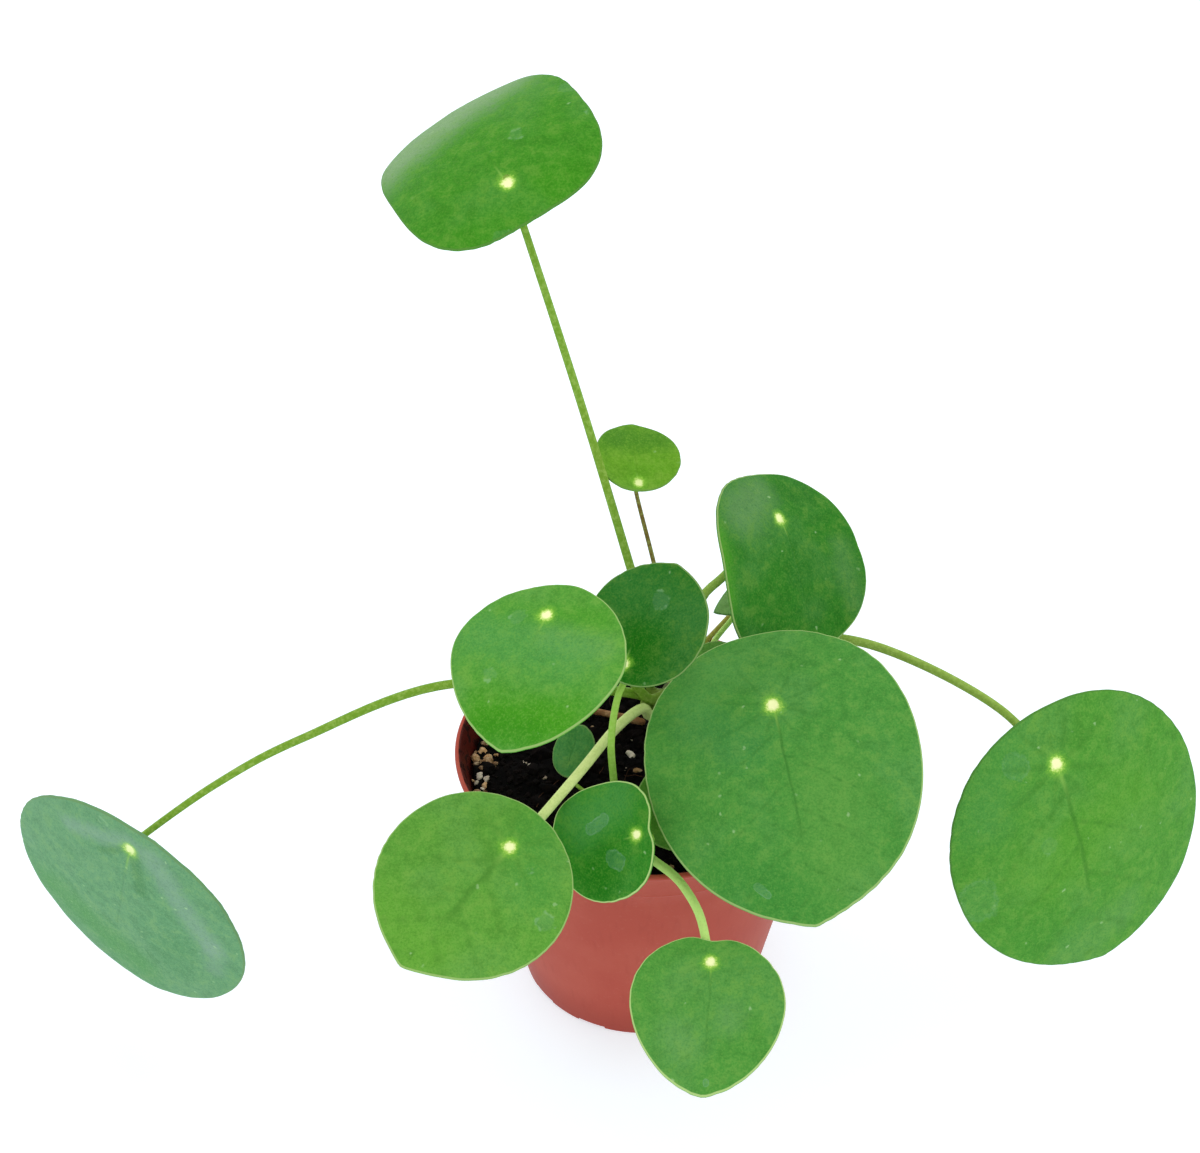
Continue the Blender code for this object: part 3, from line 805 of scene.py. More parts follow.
@dataclass(frozen=True)
class LeafBuilder:
    """Builds leaves as one closed skin each: stalk, lower face, rounded margin and upper face.

    spacing, margin_step: distances between rings and between points along the margin.
    crowding: power of the rings' spacing; below 1 it crowds them near the margin.
    rounding: how far the margin's rounding reaches in, as a share of the thickness.
    tooth, tooth_height: length and height of the margin's low teeth.
    point_width, cleft_width: how wide the point and the cleft are, in radians round the umbo.
    wave_heights: heights of the blade's soft waves: along it, in 7 lobes and in 17 ripples.
    dimple, dimple_radius: depth and radius of the dimple over the stalk.
    upper_veins, lower_veins: how deep the midrib and the side veins lie in each face.
    joint: radius at which the lower face meets the stalk, in radii of the stalk.
    root: where a stalk starts, as a share of the stem's radius.
    clearance: how far outside the stem its second point lies.
    approach: how far under the blade its last two points lie.
    flare, flare_reach: how much thicker the stalk is under the blade, and over what length.
    swelling, swelling_reach: the same for its base.
    """

    thickness: float = 0.8
    spacing: float = 0.85
    margin_step: float = 1.1
    crowding: float = 0.92
    margin_rings: int = 5
    rounding: float = 0.4
    tooth: float = 4.5
    tooth_height: float = 0.3
    point_width: float = 0.35
    cleft_width: float = 0.2
    wave_heights: Point = (0.10, 0.16, 0.07)
    dimple: float = 0.30
    dimple_radius: float = 1.7
    upper_veins: Pair = (0.10, 0.06)
    lower_veins: Pair = (0.28, 0.14)
    stalk_sides: int = 24
    stalk_step: float = 2.0
    joint: float = 2.2
    root: float = 0.4
    clearance: float = 3.1
    approach: Pair = (4.0, 0.4)
    flare: float = 0.5
    flare_reach: float = 1.6
    swelling: float = 0.35
    swelling_reach: float = 4.0

    def build(self, leaf: Leaf) -> None:
        """Builds one leaf in place of its solid."""
        skin = Skin()
        sectors = math.pi * leaf.length / self.stalk_sides / self.margin_step
        sectors = self.stalk_sides * max(3, round(sectors))
        rings = max(10, round(leaf.length / 2 / self.spacing))
        margin = self._margin(leaf, sectors)
        shares = np.linspace(0, 1, rings + 1)[1:] ** self.crowding
        inner = max(self.joint * leaf.stalk_radius[1] / (0.5 * leaf.length), shares[0])

        centre = skin.ring(self._on_blade(leaf, np.zeros((1, 2)), 0.0, 1.0), AWAY_FROM_MARGIN,
                           np.array([1.0, 0, 1]))
        chain = [self._ring(skin, leaf, margin, share, 1.0, 0.0, 1.0) for share in shares]
        skin.fan(chain[0], sectors, centre, True)
        for i in range(1, self.margin_rings):
            angle = math.pi * i / self.margin_rings
            below = self.thickness / 2 * (1 - math.cos(angle))
            chain.append(self._ring(skin, leaf, margin, 1.0, 1 - math.sin(angle), below,
                                    1 - i / self.margin_rings))
        for share in (*(s for s in shares[::-1] if s > inner), inner):
            chain.append(self._ring(skin, leaf, margin, share, 1.0, self.thickness, 0.0))
        for a, b in zip(chain, chain[1:]):
            skin.bands([b, a], sectors)
        tube = self._stalk(skin, leaf)
        skin.funnel(chain[-1], sectors, tube[-1], self.stalk_sides)
        skin.bands(tube, self.stalk_sides)
        skin.loose.append(tuple(range(tube[0] + self.stalk_sides - 1, tube[0] - 1, -1)))
        put(f"{leaf.name}_skin", skin.mesh(leaf.name), LeafFinish(leaf).make(), leaf.kind.value, leaf.name)

    def _margin(self, leaf: Leaf, sectors: int) -> Array:
        """The blade's outline about its umbo: a rounded disc with a faint point and low teeth."""
        angle = around(sectors)
        power = 2 + leaf.squareness
        reach = (np.abs(np.sin(angle)) ** power + np.abs(np.cos(angle)) ** power) ** (-1 / power)
        teeth = round(math.pi * leaf.length / self.tooth)
        swell = 0.55 + 0.45 * np.sin(3 * angle + leaf.turn)
        wander = 2.3 * np.sin(2 * angle + leaf.width) + 1.1 * np.sin(5 * angle + leaf.length)
        reach *= 1 + self.tooth_height / leaf.length * swell * np.abs(np.sin(teeth * angle / 2 + wander))
        tip = leaf.point * np.exp(-np.hypot(angle - math.pi, 0.03) / self.point_width)
        dip = leaf.cleft * np.exp(-((np.minimum(angle, math.tau - angle) / self.cleft_width) ** 2))
        x = leaf.half_width * np.sin(angle) * reach + leaf.lean
        y = -leaf.length / 2 * np.cos(angle) * reach + tip + dip + leaf.length * (0.5 - leaf.umbo_share)
        return np.stack([x, y], axis=1)

    def _on_blade(self, leaf: Leaf, flat: Array, below: float, upper: float) -> Array:
        """Places on the curved blade.

        Args:
            leaf: The leaf.
            flat: (across, along) of each place about the umbo.
            below: How far under the smooth upper face the places are.
            upper: 1 for the upper face and 0 for the lower.

        Returns:
            The places, one row each.
        """
        x, y = flat.T
        u, v = x / leaf.half_width, y / (leaf.length / 2)
        height = -leaf.sag[0] * u * u - leaf.sag[1] * v * v - leaf.sag[2] * u * v - below
        height += self._relief(leaf, x, y, upper)
        across, ahead, normal = leaf.axes
        return np.array(leaf.umbo) + np.outer(x, across) + np.outer(y, ahead) + np.outer(height, normal)

    def _relief(self, leaf: Leaf, x: Array, y: Array, upper: float) -> Array:
        """Low relief: sunk veins above, raised ones below, a dimple at the umbo and soft waves."""
        distance, heading = np.hypot(x, y), np.arctan2(x, y)
        veins = vein_map(ArrayMaths(), x, y, leaf.half_width, leaf.tip_reach)
        size = min(1.0, leaf.length / 50)
        grow = ArrayMaths.rise(distance, 0.15 * leaf.half_width, 1.0 * leaf.half_width)
        phase = leaf.umbo[0] * 0.7
        along, lobes, ripples = self.wave_heights
        waves = np.sin(x * 0.42 + phase) * np.sin(y * 0.37 + 2 * phase) * along
        waves += np.sin(7 * heading + phase) * lobes * grow
        waves += np.sin(17 * heading + 3 * phase) * ripples * grow ** 2
        dimple = -self.dimple * np.exp(-((distance / self.dimple_radius) ** 2)) * upper
        sunk, raised = (-midrib * veins[0] - side * veins[1]
                        for midrib, side in (self.upper_veins, self.lower_veins))
        return size * (waves + (sunk * upper + raised * (1 - upper))) + dimple * math.sqrt(size)

    def _ring(self, skin: Skin, leaf: Leaf, margin: Array, share: float, tuck: float,
              below: float, upper: float) -> int:
        """Adds one ring of the upper face, the rounded margin or the lower face.

        Args:
            skin: The skin to add to.
            leaf: The leaf.
            margin: The blade's outline.
            share: How far out the ring is, from 0 to 1.
            tuck: How far it is drawn in from the margin's outermost line, from 0 to 1.
            below: How far under the smooth upper face it is.
            upper: 1 for the upper face and 0 for the lower.

        Returns:
            The number of the ring's first point.
        """
        to_margin = np.hypot(*margin.T)[:, None]
        flat = margin * (share * (1 - self.rounding * self.thickness / to_margin * tuck))
        blade = np.concatenate([flat, (1 - share) * to_margin], axis=1)
        return skin.ring(self._on_blade(leaf, flat, below, upper), blade, np.array([upper, 0, 1]))

    def _stalk(self, skin: Skin, leaf: Leaf) -> list[int]:
        """Adds the stalk's rings from the stem to the blade and returns their first points."""
        spine = self._spine(leaf)
        shares = np.linspace(0, 1, len(spine))
        low, top = leaf.stalk_radius
        radii = low + (top - low) * shares
        travelled = shares * self.stalk_step * (len(spine) - 1)
        left = travelled[-1] - travelled
        radii *= 1 + self.swelling * np.exp(-((travelled / self.swelling_reach) ** 2))
        radii *= 1 + self.flare * np.exp(-((left / self.flare_reach) ** 2))
        angle = around(self.stalk_sides)
        oval = 1 + 0.05 * np.cos(2 * angle) + 0.02 * np.sin(5 * angle)
        rings = []
        for middle, radius, share, (side, other) in zip(spine, radii, shares, self._frames(spine, leaf)):
            reach = (radius * oval)[:, None]
            places = middle + reach * (np.outer(np.sin(angle), side) - np.outer(np.cos(angle), other))
            rings.append(skin.ring(places, AWAY_FROM_MARGIN, np.array([0, 1.0, share])))
        return rings

    def _spine(self, leaf: Leaf) -> Array:
        """Points at about equal steps along the stalk's middle line."""
        stem = STEMS[leaf.stem]
        direction, height = leaf.leaves_at
        outward = np.array([math.cos(math.radians(direction)), math.sin(math.radians(direction)), 0])
        foot = np.array([stem.x, stem.y, height])
        normal = leaf.axes[2]
        under = np.array(leaf.umbo) - self.thickness * normal
        points = [foot + outward * self.root * stem.radius_top,
                  foot + outward * (stem.radius_low + self.clearance)]
        points += [np.array(p, float) for p in leaf.route]
        points += [under - below * normal for below in self.approach]
        ends = [2 * points[0] - points[1], *points, 2 * points[-1] - points[-2]]
        fine = []
        t = np.linspace(0, 1, 12, endpoint=False)[:, None]
        for a, b, c, d in zip(ends, ends[1:], ends[2:], ends[3:]):
            fine.append(0.5 * (2 * b + (c - a) * t + (2 * a - 5 * b + 4 * c - d) * t ** 2
                               + (3 * b - a - 3 * c + d) * t ** 3))
        fine = np.concatenate([*fine, points[-1][None]])
        travelled = np.concatenate([[0], np.cumsum(np.linalg.norm(np.diff(fine, axis=0), axis=1))])
        count = max(6, round(travelled[-1] / self.stalk_step))
        wanted = np.linspace(0, travelled[-1], count + 1)
        return np.stack([np.interp(wanted, travelled, fine[:, k]) for k in range(3)], axis=1)

    @staticmethod
    def _frames(spine: Array, leaf: Leaf) -> list[tuple[Array, Array]]:
        """Two unit vectors across the stalk at each point, without twist, square under the blade."""
        side, _, normal = leaf.axes
        last = len(spine) - 1
        frames = []
        for i in range(last, -1, -1):
            run = spine[min(i + 1, last)] - spine[max(i - 1, 0)]
            direction = normal if i == last else run / np.linalg.norm(run)
            side = side - direction * (side @ direction)
            side = side / np.linalg.norm(side)
            frames.append((side, np.cross(direction, side)))
        return frames[::-1]


LEAVES = (
    Leaf("leaf_top", "main", (150, 87), ((2, 9, 101), (-4, 12, 124), (-17, 16, 173)), (-33, 20, 228),
         (-115, 59), -129, 52, 51.5, 0.22, (2.4, 7.3, -0.6), 1.0, (1.3, 0.9), Kind.GREEN,
         srgb(64, 142, 32), 0.1, 0.0,
         (Patch((-22, 34), (14, 41), 13, SHEEN, 0.7), Patch((12, -6), (-12, -8), 7, LUSH, 0.3)),
         edge=0.12, lean=0.5, point=1.0),
    Leaf("leaf_small_top", "main", (95, 90), ((7, 12, 100), (2, 14, 124)), (-2, 15, 148),
         (-71, 67), 168, 20.5, 21.5, 0.11, (-1.4, 0.5, 0.7), 0.1, (0.7, 0.55), Kind.GREEN,
         srgb(104, 162, 38), 0.2, 0.0,
         (Patch((6, 14), (-6, 14), 6, srgb(56, 122, 30), 0.7), Patch((0, 3), (5, 5), 5, LUSH, 0.2)),
         edge=0.15, spot=0.7, stalk_color=BROWN_STALK, lean=0.6, point=1.3),
    # The far left leaf's blue-green is partly its own colour and partly a painted sky reflection; its lilac
    # patches are painted sheen.
    Leaf("leaf_far_left", "main", (182, 84),
         ((-4, 2, 91), (-50, -8, 102), (-87, -20, 94), (-108, -28, 86)), (-129, -40, 75),
         (-118, -4), -21, 73, 72, 0.12, (3.4, 1.9, 1.0), 0.0, (1.45, 0.9), Kind.SEA,
         srgb(100, 154, 108), 0.3, 0.0,
         (Patch((18, 8), (1, -2), 4, LILAC_SHEEN, 0.5), Patch((-6, -2), (-28, 22), 5, LILAC_SHEEN, 0.55),
          Patch((-28, 22), (-30, 32), 4, LILAC_SHEEN, 0.35), Patch((-2, 3), (-6, 15), 2.4, DARK, 0.3),
          Patch((1, 1), (8, 9), 1.6, DARK, 0.3), Patch((20, 46), (-8, 53), 10, srgb(74, 146, 66), 0.6),
          Patch((-18, 32), (-20, 40), 8, srgb(74, 138, 84), 0.35)),
         edge=0.15, spot=0.7, lean=-1.4),
    Leaf("leaf_mid_left", "main", (205, 89), ((-5, -1, 99), (-19, -12, 118), (-25, -28, 137)),
         (-24, -40, 149), (-134, 72), 18, 42.5, 43, 0.23, (0, 2.9, 0.2), -0.25, (1.3, 1.0),
         Kind.GREEN, srgb(84, 156, 54), 0.1, 0.0,
         # The grey-green band across the blade near the umbo is painted sheen.
         (Patch((-4, 6), (-17, 6), 5, SHEEN, 0.16), Patch((13, 9), (-10, 10), 9, srgb(78, 152, 82), 0.5),
          Patch((5, 28), (-14, 24), 7.5, LUSH, 0.85), Patch((10, 1), (-13, -2), 4, LUSH, 0.35),
          Patch((4, 30), (-8, 29), 5, srgb(40, 132, 4), 0.5)),
         edge=0.5, lean=-2.7, point=1.3),
    Leaf("leaf_upper_right", "main", (60, 88),
         ((12, 12, 98), (12.8, 12.8, 107), (15.2, 14.2, 113.8), (20.2, 17.4, 117.2), (26, 23.5, 120.2)),
         (35, 30, 127), (-28, 48), -25, 48, 49, 0.28, (-0.6, 5.1, 4.2), 0.6, (1.3, 1.0), Kind.GREEN,
         srgb(44, 122, 30), 0.1, 0.1,
         (Patch((14, -3), (3, -8), 8, SHEEN, 0.24), Patch((1, 12), (-2, 14), 6, srgb(26, 108, 18), 0.5),
          Patch((27, 0), (28, 16), 6, srgb(82, 160, 34), 0.8), Patch((-6, -7), (-15, -4), 4, DARK, 0.3),
          Patch((-17, 12), (-17, 26), 5, SHEEN, 0.12)),
         edge=0.5, spot=0.8, stalk_color=DULL_STALK, lean=1.0, point=1.3),
    Leaf("leaf_dark_centre", "pup", (150, 71), ((-8, -27, 80), (-9, -29, 100), (-7.5, -27, 113)),
         (-6, -25, 122), (-122, 50), 179, 31, 32, 0.14, (-1.1, 0.2, -0.7), 0.0, (1.0, 0.85),
         Kind.DEEP, srgb(34, 110, 22), 0.1, 0.0,
         (Patch((-8, 19), (10, 18), 11, srgb(54, 122, 54), 0.6),
          Patch((3, 3), (0, 6), 9, srgb(20, 102, 6), 0.8)),
         edge=0.35, stalk_color=BRIGHT_STALK, lean=1.3, point=1.4),
    Leaf("leaf_far_right", "main", (20, 84),
         ((26, 15.2, 90), (41, 20.5, 94), (57, 20.2, 93.6), (75, 9.4, 93), (92, -5, 90.6)),
         (104, -20, 86), (-70, 27), 11, 74, 74.5, 0.20, (6.1, 5.3, 0.1), 0.1, (1.4, 1.1), Kind.GREEN,
         srgb(79, 150, 52), 0.85, 0.05,
         # The first patch, a greyer green at the upper left, is painted sheen.
         (Patch((23, 6), (13, -13), 11, srgb(76, 148, 72), 0.45),
          Patch((-17, 20), (10, 27), 13, srgb(94, 162, 42), 0.4),
          Patch((2, -7), (-8, -3), 2.4, DARK, 0.16), Patch((8, 54), (-10, 50), 7, SHEEN, 0.1),
          Patch((10, -3), (11, -4), 3.4, WATER, 0.22, True),
          Patch((29, 27), (29, 29), 5.5, WATER, 0.2, True),
          Patch((6, 50), (20, 44), 9, srgb(58, 138, 44), 0.35)),
         edge=0.06, boldness=1.7, stalk_color=OLIVE_STALK, lean=-3.3, point=3.4),
    Leaf("leaf_big_centre", "main", (-45, 84), ((14, -7, 88), (21, -16, 97)), (30.5, -26, 110.5),
         (-113, 68), 29, 72, 67, 0.31, (2.4, 6.7, -0.2), 0.15, (1.5, 1.2), Kind.GREEN,
         srgb(75, 147, 60), 0.9, 0.0,
         (Patch((19, 0), (9, 10), 9, srgb(66, 140, 80), 0.35),
          Patch((-10, 24), (-8, 40), 11, srgb(98, 158, 68), 0.5),
          Patch((17, 40), (6, 47), 9, srgb(56, 136, 52), 0.5),
          Patch((-9, -12), (0, -14), 5, DARK, 0.14),
          # Painted light: the next patch is a paler green that brightens this part of the blade.
          Patch((12, -13), (19, -5), 7, srgb(100, 170, 86), 0.45),
          Patch((10, 45), (12, 43), 1.0, WATER, 0.45, True)),
         edge=0.55, lean=0.3, point=4.0),
    Leaf("leaf_lower_left", "main", (215, 84), ((-1, -2, 89), (-8, -14, 92), (-17, -33, 94)),
         (-33, -60, 95), (-72, 67), -55, 46.5, 47, 0.24, (2.1, 1.6, 0.9), 0.0, (1.4, 1.25),
         Kind.GREEN, srgb(94, 160, 58), 0.75, 0.0,
         (Patch((14, 31), (-2, 33), 10, srgb(106, 172, 54), 0.5),
          Patch((-11, 5), (-3, -6), 8, srgb(70, 150, 60), 0.55)),
         edge=0.5, boldness=2.6, stalk_color=PALE_STALK, lean=0.8, point=3.3),
    Leaf("leaf_front_small", "pup", (-50, 71), ((-3, -34, 76), (-1, -45, 81), (0.5, -51, 88)),
         (-3, -56, 95), (-142, 35), -44, 29.5, 28.5, 0.17, (1.6, -0.7, -1.7), 0.4, (0.9, 0.75),
         Kind.DEEP, srgb(46, 132, 30), 0.2, 0.0,
         (Patch((10, 5), (6, 15), 8, srgb(76, 148, 72), 0.7),
          Patch((-9, 14), (-4, 9), 7.5, srgb(24, 112, 8), 0.8),
          Patch((5.8, 9.2), (4.4, 13), 1.7, WATER, 0.5, True),
          Patch((-5, 7), (-4, 8), 2.4, WATER, 0.38, True)),
         edge=0.8, lean=0.7, cleft=1.2),
    Leaf("leaf_front_low", "pup", (-115, 71),
         ((-5, -36, 74), (1.5, -46, 77), (7, -54, 78.5), (11, -61.5, 77.5), (13, -67, 75)),
         (14.5, -76, 73), (-94, 73), -2, 36, 36.5, 0.20, (-1.9, 3.8, 0), -0.1, (1.2, 1.1),
         Kind.GREEN, srgb(80, 152, 60), 0.4, 0.05,
         (Patch((-6, 13), (-6, 14), 4.5, SHEEN, 0.13), Patch((5, 20), (7, 18), 5, SHEEN, 0.12),
          Patch((6, 5), (9, 9), 5, SHEEN, 0.08), Patch((-1, 27), (-1, 27), 0.9, WATER, 0.45, True)),
         edge=0.75, stalk_color=LIME_STALK, point=1.0, cleft=1.6),
    Leaf("leaf_tiny", "pup", (120, 71), ((-12, -19, 72.5), (-18, -13, 72.5)), (-20.3, -11, 76),
         (-110, 45), 175, 14, 11, 0.15, (0.3, 0.3, 0), 0.0, (0.6, 0.5), Kind.DEEP, srgb(64, 134, 62),
         0.1, 0.0, edge=0.25, spot=0.0, point=0.4),
    Leaf("leaf_under_big", "pup", (30, 71), ((0, -26, 78),), (6, -34, 86.5),
         (-90, 50), 0, 21, 18, 0.42, (0.3, 0.5, 0), 0.0, (0.8, 0.7), Kind.GREEN, srgb(84, 142, 44),
         0.2, 0.3, point=0.5),
    # The crown leaf's light green is partly its own and partly painted light, lightened against the shade it
    # lies in.
    Leaf("leaf_crown", "main", (0, 88), ((14, 6, 90),), (19, 7, 96.5),
         (-80, 50), 0, 14, 15, 0.45, (0.3, 0.5, 0), 0.0, (0.7, 0.6), Kind.DEEP, srgb(104, 164, 74),
         0.1, 0.0, point=0.4),
    # This leaf's pale grey-green is partly its own and partly painted light, lightened against the shade it
    # lies in.
    Leaf("leaf_behind_low", "main", (70, 80), ((12.5, 15, 84), (18.7, 24, 90.5), (24, 29.5, 94.5)),
         (27, 30, 101), (-60, 55), -85, 20, 10, 0.5, (0.3, 0.5, 0), -0.75, (0.9, 0.7), Kind.GREEN,
         srgb(146, 190, 124), 0.1, 0.0, edge=0.0, stalk_color=LIME_STALK),
    Leaf("leaf_behind_high", "main", (105, 82),
         ((9, 19, 85), (17, 27, 88.7), (23.2, 34, 91.3), (31, 43, 94.5)), (38, 47, 100),
         (-50, 60), 0, 12, 11, 0.35, (0.3, 0.4, 0), 0.0, (0.8, 0.6), Kind.GREEN, srgb(70, 140, 48),
         0.1, 0.2, stalk_color=AMBER_STALK),
)


# ---- geometry nodes


class Graph(Bench):
    """A Geometry Nodes tree with named inputs, run once on a mesh."""

    def __init__(self, name: str, material: Material) -> None:
        """Starts a tree.

        Args:
            name: The name of the tree and of the mesh that it makes.
            material: The material that the mesh gets.
        """
        tree = bpy.data.node_groups.new(name, "GeometryNodeTree")
        super().__init__(tree)
        for way in ("INPUT", "OUTPUT"):
            tree.interface.new_socket(name="Geometry", in_out=way, socket_type="NodeSocketGeometry")
        self.name = name
        self.entry = tree.nodes.new("NodeGroupInput")
        self.end = tree.nodes.new("NodeGroupOutput")
        self.values: dict[str, float | int | Point | Material] = {}
        self.material = self.given("Material", "Material", material)

    @property
    def geometry(self) -> Signal:
        """The geometry that the tree runs on."""
        return Signal(self, self.entry.outputs["Geometry"])

    def given(self, name: str, kind: str, value: float | int | Point | Material) -> Signal:
        """Adds a named input.

        Args:
            name: The input's name.
            kind: "Float", "Int", "Vector" or "Material".
            value: What it is set to when the tree runs.

        Returns:
            The input inside the tree.
        """
        item = self.tree.interface.new_socket(name=name, in_out="INPUT", socket_type=f"NodeSocket{kind}")
        self.values[item.identifier] = value
        return Signal(self, self.entry.outputs[name])

    def random(self, kind: str, low: Value | Point, high: Value | Point, seed: Value | int) -> Signal:
        """A seeded random value for each element; kind is FLOAT or FLOAT_VECTOR.

        The node's sockets go by number, because those for other kinds share their names.
        """
        first, output = (2, 1) if kind == "FLOAT" else (0, 0)
        return self.node("FunctionNodeRandomValue", {"data_type": kind},
                         {first: low, first + 1: high, 8: seed}, output)

    def place(self) -> Signal:
        """Where each point is, in metres."""
        return self.node("GeometryNodeInputPosition")

    def spread(self, density: float, seed: int) -> tuple[Signal, Signal]:
        """Random points on the tree's mesh, so many in a square centimetre, and the seed's input."""
        count, start = self.given("Density", "Float", density * 1e4), self.given("Seed", "Int", seed)
        points = self.node("GeometryNodeDistributePointsOnFaces", {"distribute_method": "RANDOM"},
                           {"Mesh": self.geometry, "Density": count, "Seed": start})
        return points, start

    def strewn(self, points: Signal, grain: Signal, turn: Signal, size: Signal, seed: int) -> Signal:
        """Sets a grain on each point, with a random "shade" of its own for the material.

        Args:
            points: Where the grains are.
            grain: One grain.
            turn: Their rotations.
            size: Their scales.
            seed: The seed of their shades.

        Returns:
            The grains as real geometry.
        """
        laid = self.node("GeometryNodeInstanceOnPoints", None,
                         {"Points": points, "Instance": grain, "Rotation": turn, "Scale": size})
        laid = self.node("GeometryNodeStoreNamedAttribute", {"data_type": "FLOAT", "domain": "INSTANCE"},
                         {"Geometry": laid, "Name": "shade", "Value": self.random("FLOAT", 0.0, 1.0, seed)})
        return self.node("GeometryNodeRealizeInstances", None, {"Geometry": laid})

    def crumpled(self, body: Signal, scale: float, middle: Point, reach: Value) -> Signal:
        """Moves a body's points by soft noise; noise of 1 above the middle moves one by the reach."""
        drift = self.vector("SUBTRACT", self.drift(self.place(), scale, 1.0), middle)
        return self.node("GeometryNodeSetPosition", None,
                         {"Geometry": body, "Offset": self.vector("SCALE", drift, reach)})

    def run(self, result: Signal, mesh: Mesh) -> Mesh:
        """Realises the result, gives it its material and returns it as a plain mesh.

        Args:
            result: The geometry to give out.
            mesh: The mesh that the tree runs on.

        Returns:
            The plain mesh.
        """
        real = self.node("GeometryNodeRealizeInstances", None, {"Geometry": result})
        dressed = self.node("GeometryNodeSetMaterial", None, {"Geometry": real, "Material": self.material})
        self.tree.links.new(dressed.socket, self.end.inputs[0])
        holder = placed(self.name, mesh)
        modifier = holder.modifiers.new(self.name, "NODES")
        modifier.node_group = self.tree
        for identifier, value in self.values.items():
            modifier[identifier] = value
        graph = bpy.context.evaluated_depsgraph_get()
        made = bpy.data.meshes.new_from_object(holder.evaluated_get(graph), depsgraph=graph)
        holder.modifiers.clear()
        bpy.data.objects.remove(holder, do_unlink=True)
        made.name = self.name
        return made


# ---- pot


@dataclass(frozen=True)
class PotFinish:
    """Terracotta-red nursery plastic, a little dusty, with painted shade over its inner wall and lip, and
    peat smears inside.
    """

    wall: Color = srgb(172, 74, 60)
    warm: Color = srgb(184, 92, 76)
    deep: Color = srgb(150, 60, 48)
    # Painted shade: the dark maroon of the inner wall and the lip's top.
    inside: Color = srgb(62, 14, 8)
    dust: Color = srgb(210, 150, 134)
    dirt: Color = srgb(30, 14, 10)
    relief: float = 0.00004

    def make(self, height: float, foot: float, top: float) -> Material:
        """Builds the material. Lengths are in metres.

        Args:
            height: The pot's height.
            foot: The outer wall's radius at the foot.
            top: Its radius at the pot's height.

        Returns:
            The material.
        """
        bench = Finish("pot_plastic", specular=0.08)
        place = bench.object_place()
        x, y, z = bench.parts(place)
        radius = bench.root(x * x + y * y)
        broad = bench.noise(place, 45, 3)
        fine = bench.noise(place, 900, 3, 0.6)
        streaks = bench.noise(bench.vector("MULTIPLY", place, (1.0, 1.0, 0.12)), 600)
        color = bench.tint(self.wall, self.warm, broad, 0.35, 0.7, 0.5)
        color = bench.tint(color, self.deep, streaks, 0.5, 0.8, 0.25)
        color = bench.tint(color, self.dust, fine, 0.55, 0.85, 0.12)
        color = bench.blend(bench.fall(z, 0.0, 0.22 * height) * 0.65, color, self.deep)
        # Painted shade: the inner wall and the lip's top go dark maroon; the peat smears lie on the inner
        # wall too.
        taper = foot + z * ((top - foot) / height)
        lip = bench.rise(z, height - 2.2 * MM, height - 1.4 * MM) * (0.55 * MM)
        lip = lip + bench.rise(z, height - 9.5 * MM, height - 8 * MM) * (0.35 * MM)
        inside = bench.fall(radius - taper - lip, -0.5 * MM, -0.3 * MM) * bench.rise(z, 2 * MM, 3 * MM)
        color = bench.blend(inside * 0.92, color, self.inside)
        smears = bench.rise(bench.noise(place, 320, 4, 0.7), 0.52, 0.6) * inside
        color = bench.blend(smears * 0.85, color, self.dirt)
        roughness = 0.36 + 0.14 * broad + 0.1 * fine + 0.3 * smears
        return bench.surface(color, roughness, 0.5 * fine + 0.5 * streaks + smears, self.relief)


